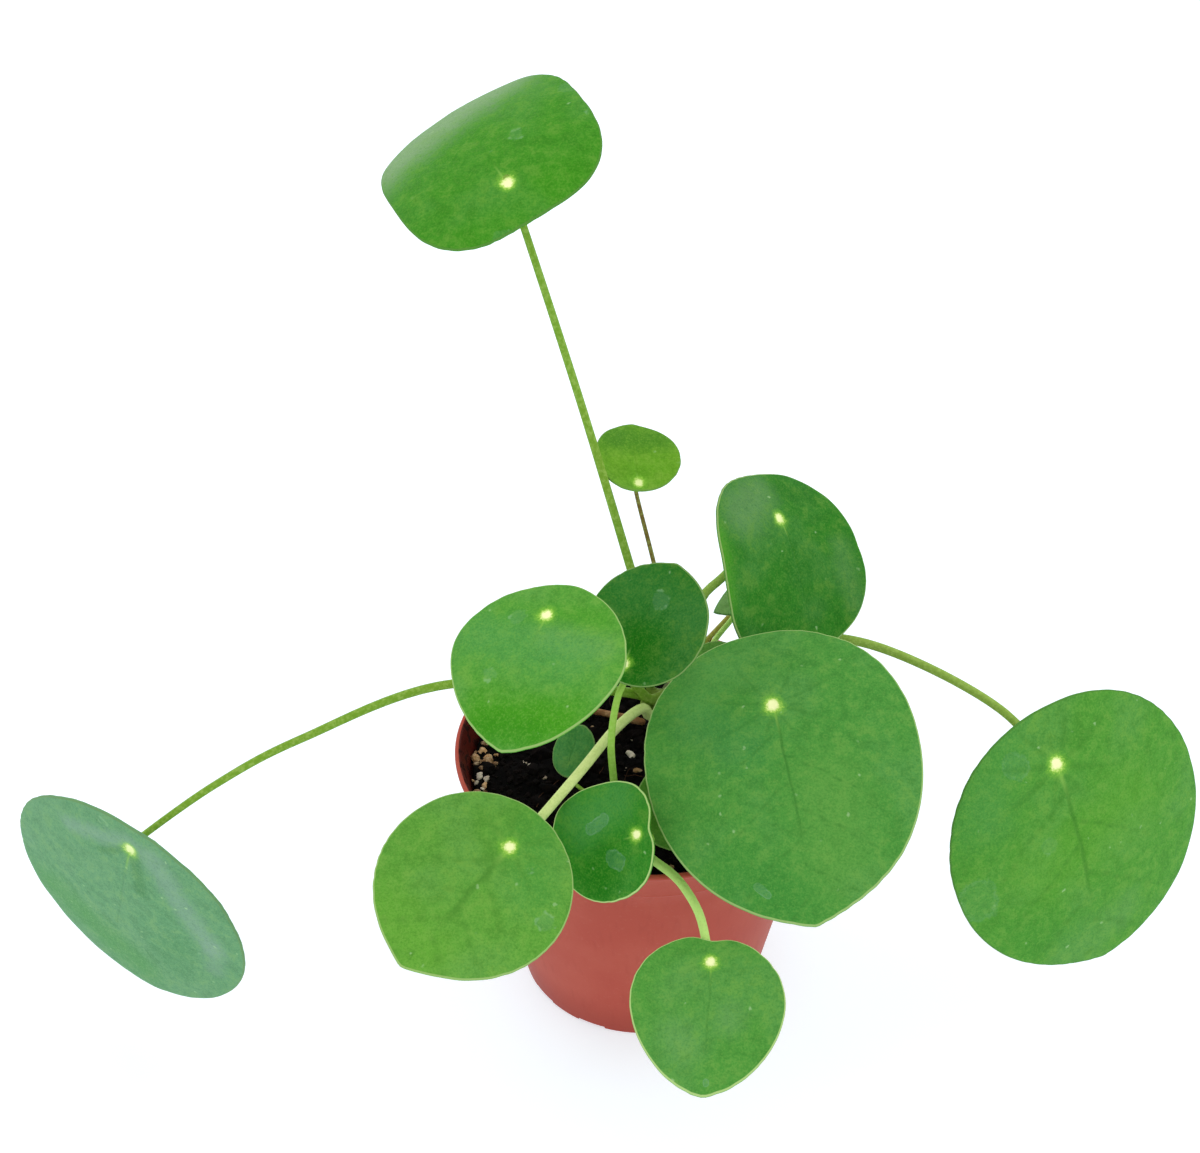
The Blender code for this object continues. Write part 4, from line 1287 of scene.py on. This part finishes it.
@dataclass
class NurseryPot:
    """A small tapered nursery pot: thin wall, shallow collar, rolled lip, notched foot, drain holes.

    notch_turn: how far the notches are turned about the axis, as a share of their spacing.
    sharp_angle: the angle in degrees from which an edge looks sharp.
    """

    height: float
    rim_radius: float
    foot_radius: float = 33.0
    wall: float = 1.3
    floor: float = 2.5
    floor_fillet: float = 1.5
    collar_height: float = 10.0
    collar_step: float = 0.7
    collar_fillet: float = 0.55
    lip: float = 1.6
    foot_ring: float = 5.0
    foot_fillet: float = 0.6
    pad_radius: float = 10.0
    pad_fillet: float = 0.3
    recess: float = 1.0
    notches: int = 12
    notch_width: float = 8.0
    notch_turn: float = 0.15
    holes: int = 6
    hole_radius: float = 3.0
    hole_circle: float = 19.0
    sides: int = 192
    sharp_angle: float = 40.0

    @property
    def collar(self) -> float:
        """The height at which the collar starts."""
        return self.height - self.collar_height

    @property
    def inner_step(self) -> float:
        """The radius of the wall's inner side at the foot of the collar."""
        return self.outer(self.collar) + self.collar_step - self.wall

    def outer(self, height: float) -> float:
        """The radius of the tapered outer wall below the collar."""
        top = self.rim_radius - self.lip / 2 - self.collar_step
        return self.foot_radius + (top - self.foot_radius) * height / self.height

    def profile(self) -> list[Pair]:
        """The pot's section, from the middle of its underside round to the middle of its floor."""
        collar, pad, ring = self.collar, self.pad_radius, self.foot_radius - self.foot_ring
        rim = self.rim_radius - self.lip / 2
        step = self.outer(collar) + self.collar_step
        lip_low = self.height - self.lip
        points = [(0, 0), (pad - self.pad_fillet, 0)]
        points += arc((pad - self.pad_fillet, self.pad_fillet), self.pad_fillet, -90, -45, 2)
        points += [(pad + self.recess, self.recess), (ring - self.recess, self.recess)]
        points += arc((ring + 0.2, self.pad_fillet), self.pad_fillet, -135, -90, 2)
        points += arc((self.foot_radius - self.foot_fillet, self.foot_fillet), self.foot_fillet, -90, -8, 5)
        points += [(self.outer(h), h) for h in np.linspace(4, collar - 0.5, 16)]
        points += arc((step - self.collar_fillet, collar + self.collar_step), self.collar_fillet, -75, 0, 5)
        points += [(step + (rim - step) * s, collar + 1 + (lip_low - 0.6 - collar - 1) * s)
                   for s in (0.1, 0.4, 0.7, 1.0)]
        points += arc((rim, self.height - self.lip / 2), self.lip / 2, -60, 150, 14)
        points += [(self.rim_radius - self.lip - self.wall / 2, lip_low - 0.6),
                   (self.inner_step, collar + self.collar_step),
                   (self.outer(collar) - self.wall, collar - self.collar_step)]
        points += [(self.outer(h) - self.wall, h) for h in np.linspace(collar - 8, self.floor + 4, 6)]
        corner = (self.outer(self.floor) - self.wall - self.floor_fillet, self.floor + self.floor_fillet)
        points += arc(corner, self.floor_fillet, 0, -90, 5)
        points.append((0, self.floor))
        return points

    def build(self) -> None:
        """Builds the pot in place of its solid."""
        mesh = turned_skin(self.profile(), self.sides).mesh("pot")
        material = PotFinish().make(self.height * MM, self.foot_radius * MM, self.outer(self.height) * MM)
        mesh.materials.append(material)
        mesh = self._cut(mesh, material)
        mesh.set_sharp_from_angle(angle=math.radians(self.sharp_angle))
        put("nursery_pot", mesh, None, "pot_plastic", "pot")

    def _cut(self, mesh: Mesh, material: Material) -> Mesh:
        """Cuts the foot's notches and the drain holes with a Geometry Nodes tree."""
        graph = Graph("pot", material)
        notches = graph.given("Notches", "Int", self.notches)
        notch_circle = graph.given("Notch circle", "Float", self.foot_radius * MM)
        size = graph.given("Notch size", "Vector",
                           (3 * self.foot_ring * MM, self.notch_width * MM, 2 * self.recess * MM))
        holes = graph.given("Holes", "Int", self.holes)
        hole_circle = graph.given("Hole circle", "Float", self.hole_circle * MM)
        bore = graph.given("Hole radius", "Float", self.hole_radius * MM)
        box = graph.node("GeometryNodeMeshCube", None, {"Size": size})
        drill = graph.node("GeometryNodeMeshCylinder", {"fill_type": "NGON"},
                           {"Vertices": 32, "Radius": bore, "Depth": 4 * self.floor * MM})
        cutters = graph.node("GeometryNodeJoinGeometry")
        turn = math.tau * self.notch_turn / self.notches
        for tool, number, radius, start in ((box, notches, notch_circle, turn),
                                            (drill, holes, hole_circle, 0.0)):
            ring = graph.node("GeometryNodeMeshCircle", None, {"Vertices": number, "Radius": radius})
            ring = graph.node("GeometryNodeTransform", None,
                              {"Geometry": ring, "Rotation": (0.0, 0.0, start)})
            heading = graph.node("FunctionNodeAlignRotationToVector", {"axis": "X"},
                                 {"Vector": graph.place()})
            tools = graph.node("GeometryNodeInstanceOnPoints", None,
                               {"Points": ring, "Instance": tool, "Rotation": heading})
            real = graph.node("GeometryNodeRealizeInstances", None, {"Geometry": tools})
            graph.tree.links.new(real.socket, cutters.socket.node.inputs[0])
        cut = graph.node("GeometryNodeMeshBoolean", {"operation": "DIFFERENCE", "solver": "EXACT"},
                         {0: graph.geometry, 1: cutters})
        return graph.run(cut, mesh)


# ---- soil


@dataclass(frozen=True)
class EarthFinish:
    """A crumbly finish in two colours that vary from grain to grain and over each grain.

    lumps: the broader noise's lumps in a metre.
    """

    dark: Color
    light: Color
    spot: Color
    roughness: float
    lumps: float
    relief: float = 0.0004

    def make(self, name: str) -> Material:
        """Builds the material under a name."""
        bench = Finish(name, specular=0.06)
        place = bench.object_place()
        broad = bench.noise(place, self.lumps, 4, 0.6)
        fine = bench.noise(place, self.lumps * 6, 3, 0.7)
        color = bench.blend(bench.attribute("shade"), self.dark, self.light)
        color = bench.tint(color, self.spot, broad, 0.42, 0.7, 0.5)
        color = bench.tint(color, self.dark, 1 - fine, 0.5, 0.75, 0.6)
        return bench.surface(color, self.roughness - 0.12 * fine, 0.6 * broad + 0.4 * fine, self.relief)


class Earth(Enum):
    """What the potting mix is made of."""

    BED = EarthFinish(srgb(3, 3, 3), srgb(8, 6, 6), srgb(14, 9, 8), 0.95, 500)
    PEAT = EarthFinish(srgb(3, 3, 3), srgb(15, 10, 9), srgb(26, 17, 14), 0.92, 700)
    PERLITE = EarthFinish(srgb(130, 112, 96), srgb(236, 224, 208), srgb(206, 184, 160), 0.9, 900)
    BARK = EarthFinish(srgb(58, 30, 20), srgb(204, 160, 112), srgb(240, 212, 176), 0.85, 600)
    FIBRE = EarthFinish(srgb(30, 18, 12), srgb(84, 56, 38), srgb(60, 40, 28), 0.85, 900)


@dataclass(frozen=True)
class Scatter:
    """Grains strewn over the soil.

    density: grains in a square centimetre.
    size: the smallest and largest radius.
    shape: how long, wide and high a grain is, for a radius of 1.
    seed: the seed of the places; the shapes, turns and shades use seeds just above it.
    rounds: how often the grain's sphere is subdivided.
    spots: grains listed one by one instead, each as x, y and radius.
    uneven: how much longer, wider or higher a grain may be, as a share.
    tilt: how far it may lean, in radians.
    lumps, crumple: how often its crumples repeat in a largest radius, and how deep they are in it.
    """

    name: str
    earth: Earth
    density: float
    size: Pair
    shape: Point
    seed: int
    rounds: int = 1
    spots: tuple[Point, ...] = ()
    uneven: float = 0.3
    tilt: float = 0.5
    lumps: float = 0.9
    crumple: float = 1.1

    def build(self, bed: Mesh) -> None:
        """Strews the grains over a copy of the bed's top."""
        graph = Graph(self.name, self.earth.value.make(self.name))
        shape = graph.given("Shape", "Vector", self.shape)
        if self.spots:
            bed = self._spotted(bed)
            points = graph.geometry
            length = graph.node("GeometryNodeInputNamedAttribute", {"data_type": "FLOAT"},
                                {"Name": "radius"}, "Attribute")
        else:
            bed = bed.copy()
            small = graph.given("Smallest", "Float", self.size[0] * MM)
            large = graph.given("Largest", "Float", self.size[1] * MM)
            points, seed = graph.spread(self.density, self.seed)
            grown = graph.random("FLOAT", 0.0, 1.0, seed)
            length = small + grown * grown * (large - small)
        grain = graph.node("GeometryNodeMeshIcoSphere", None, {"Radius": 1.0, "Subdivisions": self.rounds})
        least, most = (1 - self.uneven,) * 3, (1 + self.uneven,) * 3
        size = graph.vector("MULTIPLY", graph.random("FLOAT_VECTOR", least, most, self.seed + 3), shape)
        size = graph.vector("SCALE", size, length)
        turn = graph.random("FLOAT_VECTOR", (-self.tilt, -self.tilt, 0.0),
                            (self.tilt, self.tilt, math.tau), self.seed + 5)
        grains = graph.strewn(points, grain, turn, size, self.seed + 7)
        largest = self.size[1] * MM
        grains = graph.crumpled(grains, self.lumps / largest, (0.5, 0.5, 0.5), largest * self.crumple)
        put(self.name, graph.run(grains, bed), None, "potting_mix")

    def _spotted(self, bed: Mesh) -> Mesh:
        """A mesh of the listed points, each at the height of the bed below it."""
        ground = np.array([v.co for v in bed.vertices])
        spots = np.array(self.spots) * MM
        near = ((ground[None, :, :2] - spots[:, None, :2]) ** 2).sum(axis=2).argmin(axis=1)
        mesh = bpy.data.meshes.new(self.name)
        mesh.from_pydata([(x, y, ground[n][2]) for (x, y, _), n in zip(spots, near)], [], [])
        mesh.attributes.new("radius", "FLOAT", "POINT").data.foreach_set("value", spots[:, 2])
        return mesh


@dataclass(frozen=True)
class Fibres:
    """Short fine fibres that lie over the crumbs.

    density: fibres in a square centimetre.
    seed: the seed of the places; the turns, sizes and shades use seeds just above it.
    lumps: how many times a fibre's bend changes in a metre.
    """

    density: float = 0.6
    length: float = 7.0
    radius: float = 0.11
    bend: float = 2.2
    seed: int = 31
    points: int = 12
    sides: int = 5
    tilt: float = 0.15
    shortest: float = 0.3
    lumps: float = 260.0

    def build(self, bed: Mesh) -> None:
        """Strews the fibres over a copy of the bed's top."""
        graph = Graph("peat_fibres", Earth.FIBRE.value.make("peat_fibres"))
        length = graph.given("Length", "Float", self.length * MM)
        radius = graph.given("Radius", "Float", self.radius * MM)
        bend = graph.given("Bend", "Float", self.bend * MM)
        points, _ = graph.spread(self.density, self.seed)
        line = graph.node("GeometryNodeMeshLine", {"mode": "END_POINTS"},
                          {"Count": self.points, "Start Location": (-0.5, 0, 0), "Offset": (0.5, 0, 0)})
        turn = graph.random("FLOAT_VECTOR", (0, -self.tilt, 0), (0, self.tilt, math.tau), self.seed + 2)
        size = graph.random("FLOAT", self.shortest, 1.0, self.seed + 4) * length
        lines = graph.strewn(points, line, turn, size, self.seed + 6)
        lines = graph.crumpled(lines, self.lumps, (0.5, 0.5, 0.1), bend)
        curve = graph.node("GeometryNodeMeshToCurve", None, {"Mesh": lines})
        section = graph.node("GeometryNodeCurvePrimitiveCircle", None,
                             {"Resolution": self.sides, "Radius": radius})
        tube = graph.node("GeometryNodeCurveToMesh", None,
                          {"Curve": curve, "Profile Curve": section, "Fill Caps": True})
        put("peat_fibres", graph.run(tube, bed.copy()), None, "potting_mix")


@dataclass
class PottingMix:
    """The plug of dark mix in the pot, with crumbs, perlite, bark and fibres on its top.

    gap: the free space between the mix and the pot.
    waves, longest, narrowing: number of the surface's waves, length of the first, and the next one's
        length as a share of it.
    swell, swell_power: a wave's height is swell times its length to this power.
    deepest, highest: where the sum of the waves is cut off.
    roughness: the share of that sum that shows.
    bed_shade: the "shade" of the bed's material, from 0 to 1.
    """

    top: float
    pot: NurseryPot
    gap: float = 0.3
    waves: int = 60
    longest: float = 22.0
    narrowing: float = 0.94
    swell: float = 0.028
    swell_power: float = 0.7
    deepest: float = -1.6
    highest: float = 1.3
    roughness: float = 0.9
    bed_shade: float = 0.25
    sides: int = 160
    rings: int = 52
    seed: int = 7

    def build(self) -> None:
        """Builds the plug in place of its solid, and everything strewn on it."""
        skin, top_rings = self._plug()
        bed = skin.mesh("soil")
        shade = bed.attributes.new("shade", "FLOAT", "POINT")
        shade.data.foreach_set("value", np.full(len(bed.vertices), self.bed_shade, np.float32))
        put("soil_bed", bed, Earth.BED.value.make("soil_bed"), "potting_mix", "soil")
        patch = self._top(skin, top_rings)
        for strewn in (*SCATTERS, Fibres()):
            strewn.build(patch)
        bpy.data.meshes.remove(patch)

    def _heights(self, x: Array, y: Array) -> Array:
        """The crumbly surface: a sum of waves of many sizes in seeded directions."""
        rng = np.random.default_rng(self.seed)
        made = np.zeros_like(x)
        for i in range(self.waves):
            wavelength = self.longest * self.narrowing ** i
            turn, phase = rng.uniform(0, math.tau, 2)
            ahead = (x * math.cos(turn) + y * math.sin(turn)) * math.tau / wavelength
            made += np.sin(ahead + phase) * self.swell * wavelength ** self.swell_power
        return np.clip(made, self.deepest, self.highest) * self.roughness

    def _plug(self) -> tuple[Skin, list[int]]:
        """The closed plug and the first points of its top rings."""
        pot, gap = self.pot, self.gap
        edge = pot.inner_step - gap
        low, step = pot.floor + gap, pot.collar + pot.collar_step
        foot = pot.outer(pot.floor) - pot.wall - gap
        angle = around(self.sides)
        skin = Skin()
        bottom = skin.on_axis(low)
        sides = ((foot - pot.floor_fillet, low), (foot, low + pot.floor_fillet),
                 (pot.outer(pot.collar) - pot.wall - 2 * gap, pot.collar - pot.collar_step), (edge, step))
        rings = [skin.ring(circle(angle, *straight(angle, *point))) for point in sides]
        top_rings = []
        for i in range(self.rings):
            radius = (edge - gap) * (1 - i / self.rings)
            heights = self.top + self._heights(radius * np.cos(angle), radius * np.sin(angle))
            if i == 0:
                heights = np.maximum(heights, step + gap)
            top_rings.append(skin.ring(circle(angle, radius, heights)))
        centre = skin.on_axis(self.top + self._heights(np.zeros(1), np.zeros(1))[0])
        chain = rings + top_rings
        skin.fan(chain[0], self.sides, bottom, False)
        skin.bands(chain, self.sides)
        skin.fan(chain[-1], self.sides, centre, True)
        return skin, top_rings

    def _top(self, skin: Skin, top_rings: list[int]) -> Mesh:
        """The top of the bed alone, for grains to lie on."""
        starts = [ring - top_rings[0] for ring in top_rings[2:]]
        faces = [quads(a, b, self.sides) for a, b in zip(starts, starts[1:])]
        points = np.concatenate(skin.points)[top_rings[0]:-1] * MM
        made = bpy.data.meshes.new("soil_top")
        made.from_pydata(points, [], np.concatenate(faces).tolist())
        return made


BARK_SPOTS = ((-43, 5.5, 1.2), (-44.9, 2.8, 1.0), (-44.6, 0, 0.9), (-41.6, 0.8, 1.2), (-40.6, -1.8, 1.1),
              (-45.2, 4.6, 0.7), (-42, -8.4, 0.9), (-44, -11.4, 0.7), (-41.6, -10.6, 0.7), (-39.4, 0.2, 0.6),
              (-43.4, 1.4, 0.7), (-41.8, 3.2, 0.8), (-43.2, -2.2, 0.7), (-45, -6.6, 0.7),
              (-42.4, 8.4, 1.0), (-39.6, 4.4, 0.7), (-14, 14.7, 0.7), (-2.1, -2.8, 0.8),
              (-20.6, -13.7, 0.5), (6.3, -39.6, 0.8), (-30, -1, 0.4))
PERLITE_SPOTS = ((-43.4, -5.2, 0.9), (-41.6, -6.6, 0.8), (-44.2, -7.8, 0.8), (-42.6, -9.6, 0.6),
                 (-31.9, 1.2, 0.7), (-30.4, 0.7, 0.5), (-26.2, -6.3, 0.5), (-26, -10.6, 0.5),
                 (-2.3, 11.3, 0.9), (-3.6, 4.4, 1.2), (-4.9, -2.5, 0.5), (-1.4, 12.6, 0.6),
                 (12, 26, 0.9), (-20, 30, 1.1), (26, 8, 0.8))

SCATTERS = (
    Scatter("peat_crumbs", Earth.PEAT, 34, (0.35, 1.1), (1.2, 1.0, 0.8), 11),
    Scatter("peat_lumps", Earth.PEAT, 3.4, (1.0, 2.6), (1.3, 1.0, 0.75), 12, 2),
    Scatter("perlite_bits", Earth.PERLITE, 0, (0.3, 1.3), (1.1, 1.0, 0.9), 13, 3, PERLITE_SPOTS),
    Scatter("bark_chips", Earth.BARK, 0, (0.5, 1.5), (1.2, 1.0, 0.8), 14, 3, BARK_SPOTS),
    Scatter("bark_crumbs", Earth.BARK, 0.5, (0.2, 0.5), (1.3, 1.0, 0.7), 15, 2),
)


# ---- stems


@dataclass(frozen=True)
class StemFinish:
    """The skin of a stem: greenish above, corky brown below, with darker blotches."""

    green: Color
    bark: Color
    scar: Color
    cork: Color = srgb(176, 158, 110)
    relief: float = 0.00025

    def make(self, name: str, foot: float, top: float) -> Material:
        """Builds the material.

        Args:
            name: The material's name.
            foot: Where the stem leaves the soil, in metres.
            top: Where it ends, in metres.

        Returns:
            The material.
        """
        bench = Finish(name, specular=0.3)
        place = bench.object_place()
        height = bench.parts(place)[2]
        broad = bench.noise(place, 240, 4, 0.6)
        fine = bench.noise(place, 1500, 3, 0.7)
        young = bench.rise(height + broad * 0.006, foot, top + 0.004)
        color = bench.blend(young, self.bark, self.green)
        color = bench.tint(color, self.cork, fine, 0.5, 0.8, 0.4)
        color = bench.tint(color, self.scar, 1 - broad, 0.5, 0.7, 0.5)
        return bench.surface(color, 0.6 + 0.25 * broad, 0.6 * fine + 0.4 * broad, self.relief)


@dataclass(frozen=True)
class Stem:
    """An upright stem: its place, height and thickness in millimetres, its skin and the record's slot."""

    name: str
    x: float
    y: float
    top: float
    radius_low: float
    radius_top: float
    finish: StemFinish
    slot: str


STEMS = {
    "main": Stem("stem_main", 8, 5, 90, 4.5, 3.6,
                 StemFinish(srgb(86, 100, 46), srgb(92, 64, 42), srgb(50, 34, 24)), "stem_bark"),
    "pup": Stem("stem_pup", -5, -26, 74, 2.6, 2.2,
                StemFinish(srgb(92, 118, 52), srgb(84, 92, 48), srgb(60, 52, 34)), "stem_green"),
}


@dataclass(frozen=True)
class StemBuilder:
    """Builds a stem with the half-moon scars and low swellings that old leaves leave.

    scars: the height above the soil holds twice as many scars as this.
    scar_turn: the angle from one scar to the next, in radians.
    bulge, dent: height of the swelling at a scar and depth of the scar below it.
    """

    bottom: float
    soil: float
    sides: int = 48
    rings: int = 70
    fillet: float = 1.3
    scars: int = 5
    scar_turn: float = 2.4
    scar_width: float = 0.8
    bulge: float = 0.28
    dent: float = 0.22

    def build(self, stem: Stem) -> None:
        """Builds one stem in place of its solid."""
        profile = [(0.0, self.bottom)]
        for height in np.linspace(self.bottom, stem.top - 1.2, self.rings):
            share = (height - self.bottom) / (stem.top - self.bottom)
            profile.append((stem.radius_low + (stem.radius_top - stem.radius_low) * share, height))
        profile += arc((stem.radius_top - self.fillet, stem.top - self.fillet), self.fillet, 10, 80, 4)
        profile.append((0.0, stem.top))
        skin = turned_skin(profile, self.sides, self._scarred(stem))
        for ring in skin.points:
            ring += np.array([stem.x, stem.y, 0.0])
        material = stem.finish.make(stem.name, self.soil * MM, stem.top * MM)
        put(f"{stem.name}_skin", skin.mesh(stem.name), material, stem.slot, stem.name)

    def _scarred(self, stem: Stem) -> RingShape:
        """The rule that shapes each ring of a stem."""
        pitch = (stem.top - self.soil) / self.scars

        def shape(angle: Array, radius: float, height: float) -> tuple[Array, Array]:
            """Swells a ring where scars lie on it."""
            radii = radius * (1 + 0.03 * np.sin(3 * angle + height * 0.3) + 0.02 * np.sin(7 * angle - height))
            for i in range(self.scars * 2):
                level = self.soil + pitch * (i * 0.5 + 0.2)
                near = np.cos(angle - self.scar_turn * i)
                up = (height - level - 0.5 * near) / self.scar_width
                radii += self.bulge * np.exp(-up * up) * ArrayMaths.rise(near, -0.2, 0.8)
                radii -= self.dent * np.exp(-(up + 1.4) ** 2) * ArrayMaths.rise(near, 0.2, 0.9)
            return radii, np.full(len(angle), height)

        return shape


@dataclass(frozen=True)
class DryStalk:
    """The stub of an old dry leaf stalk that lies on the soil.

    swells: how thick it is along its length: pairs of a place from 0 to 1 and a share of its radius.
    bow: how far its middle rises.
    """

    start: Pair = (-16.0, 20.0)
    end: Pair = (0.5, 14.5)
    lift: float = 70.3
    radius: float = 1.1
    swells: tuple[Pair, ...] = ((0, 0.8), (0.5, 0.9), (0.85, 1.0), (0.97, 0.85), (1, 0.55))
    bow: float = 0.25
    sides: int = 28
    rings: int = 60
    finish: EarthFinish = EarthFinish(srgb(120, 84, 52), srgb(196, 150, 104), srgb(214, 176, 132), 0.8, 300)

    def build(self) -> None:
        """Builds the stub in place of its solid."""
        length = math.dist(self.start, self.end)
        profile = [(0.0, 0.0)]
        for share in np.linspace(0, 1, self.rings):
            swell = np.interp(share, *zip(*self.swells))
            profile.append((self.radius * float(swell), 0.15 + share * (length - 0.3)))
        profile.append((0.0, length))
        skin = turned_skin(profile, self.sides, self._wrinkled)
        turn = math.atan2(self.end[1] - self.start[1], self.end[0] - self.start[0])
        ahead = np.array([math.cos(turn), math.sin(turn), 0.0])
        aside = np.array([-math.sin(turn), math.cos(turn), 0.0])
        foot = np.array([*self.start, self.lift])
        for ring in skin.points:
            x, y, z = ring.T.copy()
            bow = self.bow * np.sin(math.pi * z / length)
            ring[:] = foot + np.outer(z, ahead) + np.outer(y, aside) + np.outer(bow - x, (0, 0, 1))
        put("dry_stalk_skin", skin.mesh("dry_stalk"), self.finish.make("dry_stalk"), "dry_stalk", "dry_stalk")

    @staticmethod
    def _wrinkled(angle: Array, radius: float, height: float) -> tuple[Array, Array]:
        """Pulls a ring in along lengthwise wrinkles."""
        folds = 0.07 * np.cos(5 * angle + 0.25 * height) + 0.05 * np.cos(8 * angle - 0.4 * height)
        return radius * (1 - 0.06 + folds * 0.8), np.full(len(angle), height)


# ---- studio


@dataclass(frozen=True)
class Lamp:
    """A soft square lamp: its place and size in metres and its power in watts."""

    name: str
    place: Point
    size: float
    power: float


@dataclass(frozen=True)
class Studio:
    """A plain pale floor, soft light from all sides and above, and the camera.

    Lengths are in metres, lens and sensor in millimetres, and the elevation is in degrees.
    """

    target: Point = (-0.01175, 0.0, 0.13005)
    distance: float = 0.560
    elevation: float = 36.45
    lens: float = 67.47
    sensor: float = 36.0
    nearest: float = 0.02
    sky: float = 1.0
    lamps: tuple[Lamp, ...] = (Lamp("key", (0.6, 0.3, 1.0), 0.5, 1.2),
                               Lamp("gloss", (-0.55, 0.4, 1.1), 0.5, 1.0))
    floor_half: float = 6.0
    floor_drop: float = 0.0002
    floor_color: Color = (0.60, 0.69, 0.75)
    floor_glow: Color = (0.52, 0.53, 0.56)

    def build(self) -> None:
        """Sets up the camera, the light and the floor."""
        self._camera()
        self._light()
        self._floor()

    def _camera(self) -> None:
        """Places the camera at the object's viewing angle."""
        tilt = math.radians(self.elevation)
        made = placed("camera", bpy.data.cameras.new("camera"))
        made.data.lens = self.lens
        made.data.sensor_width = self.sensor
        made.data.sensor_fit = "HORIZONTAL"
        made.data.clip_start = self.nearest
        made.location = (self.target[0], self.target[1] - self.distance * math.cos(tilt),
                         self.target[2] + self.distance * math.sin(tilt))
        made.rotation_euler = (math.pi / 2 - tilt, 0.0, 0.0)
        bpy.context.scene.camera = made

    def _light(self) -> None:
        """Lights the scene with a white sky and two soft boxes behind the object."""
        world = bpy.data.worlds.new("studio")
        bpy.context.scene.world = world
        world.use_nodes = True
        sky = world.node_tree.nodes["Background"]
        sky.inputs["Color"].default_value = (1.0, 1.0, 1.0, 1.0)
        sky.inputs["Strength"].default_value = self.sky
        for lamp in self.lamps:
            light = bpy.data.lights.new(lamp.name, "AREA")
            light.size = lamp.size
            light.energy = lamp.power
            made = placed(lamp.name, light)
            made.location = lamp.place
            x, y, z = np.array(lamp.place) - np.array(self.target)
            made.rotation_euler = (math.atan2(math.hypot(x, y), z), 0.0, math.atan2(y, x) + math.pi / 2)
        bpy.context.scene.view_settings.view_transform = "Standard"

    def _floor(self) -> None:
        """Lays the floor: pale, and glowing a little so that shadows on it stay faint."""
        mesh = bpy.data.meshes.new("floor")
        corners = [(-1, -1), (1, -1), (1, 1), (-1, 1)]
        mesh.from_pydata([(self.floor_half * x, self.floor_half * y, -self.floor_drop)
                          for x, y in corners], [], [(0, 1, 2, 3)])
        finish = Finish("floor", specular=0.0)
        for name, value in (("Base Color", (*self.floor_color, 1.0)), ("Roughness", 1.0),
                            ("Emission Color", (*self.floor_glow, 1.0)), ("Emission Strength", 1.0)):
            finish.shader.inputs[name].default_value = value
        mesh.materials.append(finish.material)
        placed("floor", mesh)


def main() -> None:
    """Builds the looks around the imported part, in order from the pot up."""
    logging.basicConfig(level=logging.INFO, format="%(name)s: %(message)s")
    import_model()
    Studio().build()

    _, pot_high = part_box("pot")
    pot = NurseryPot(height=pot_high[2] / MM, rim_radius=pot_high[0] / MM)
    pot.build()
    PottingMix(SOIL_TOP, pot).build()
    stem_low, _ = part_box("stem_main")
    stems = StemBuilder(stem_low[2] / MM, SOIL_TOP)
    for stem in STEMS.values():
        stems.build(stem)
    DryStalk().build()
    leaves = LeafBuilder()
    for leaf in LEAVES:
        leaves.build(leaf)

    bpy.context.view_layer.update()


if __name__ == "__main__":
    main()
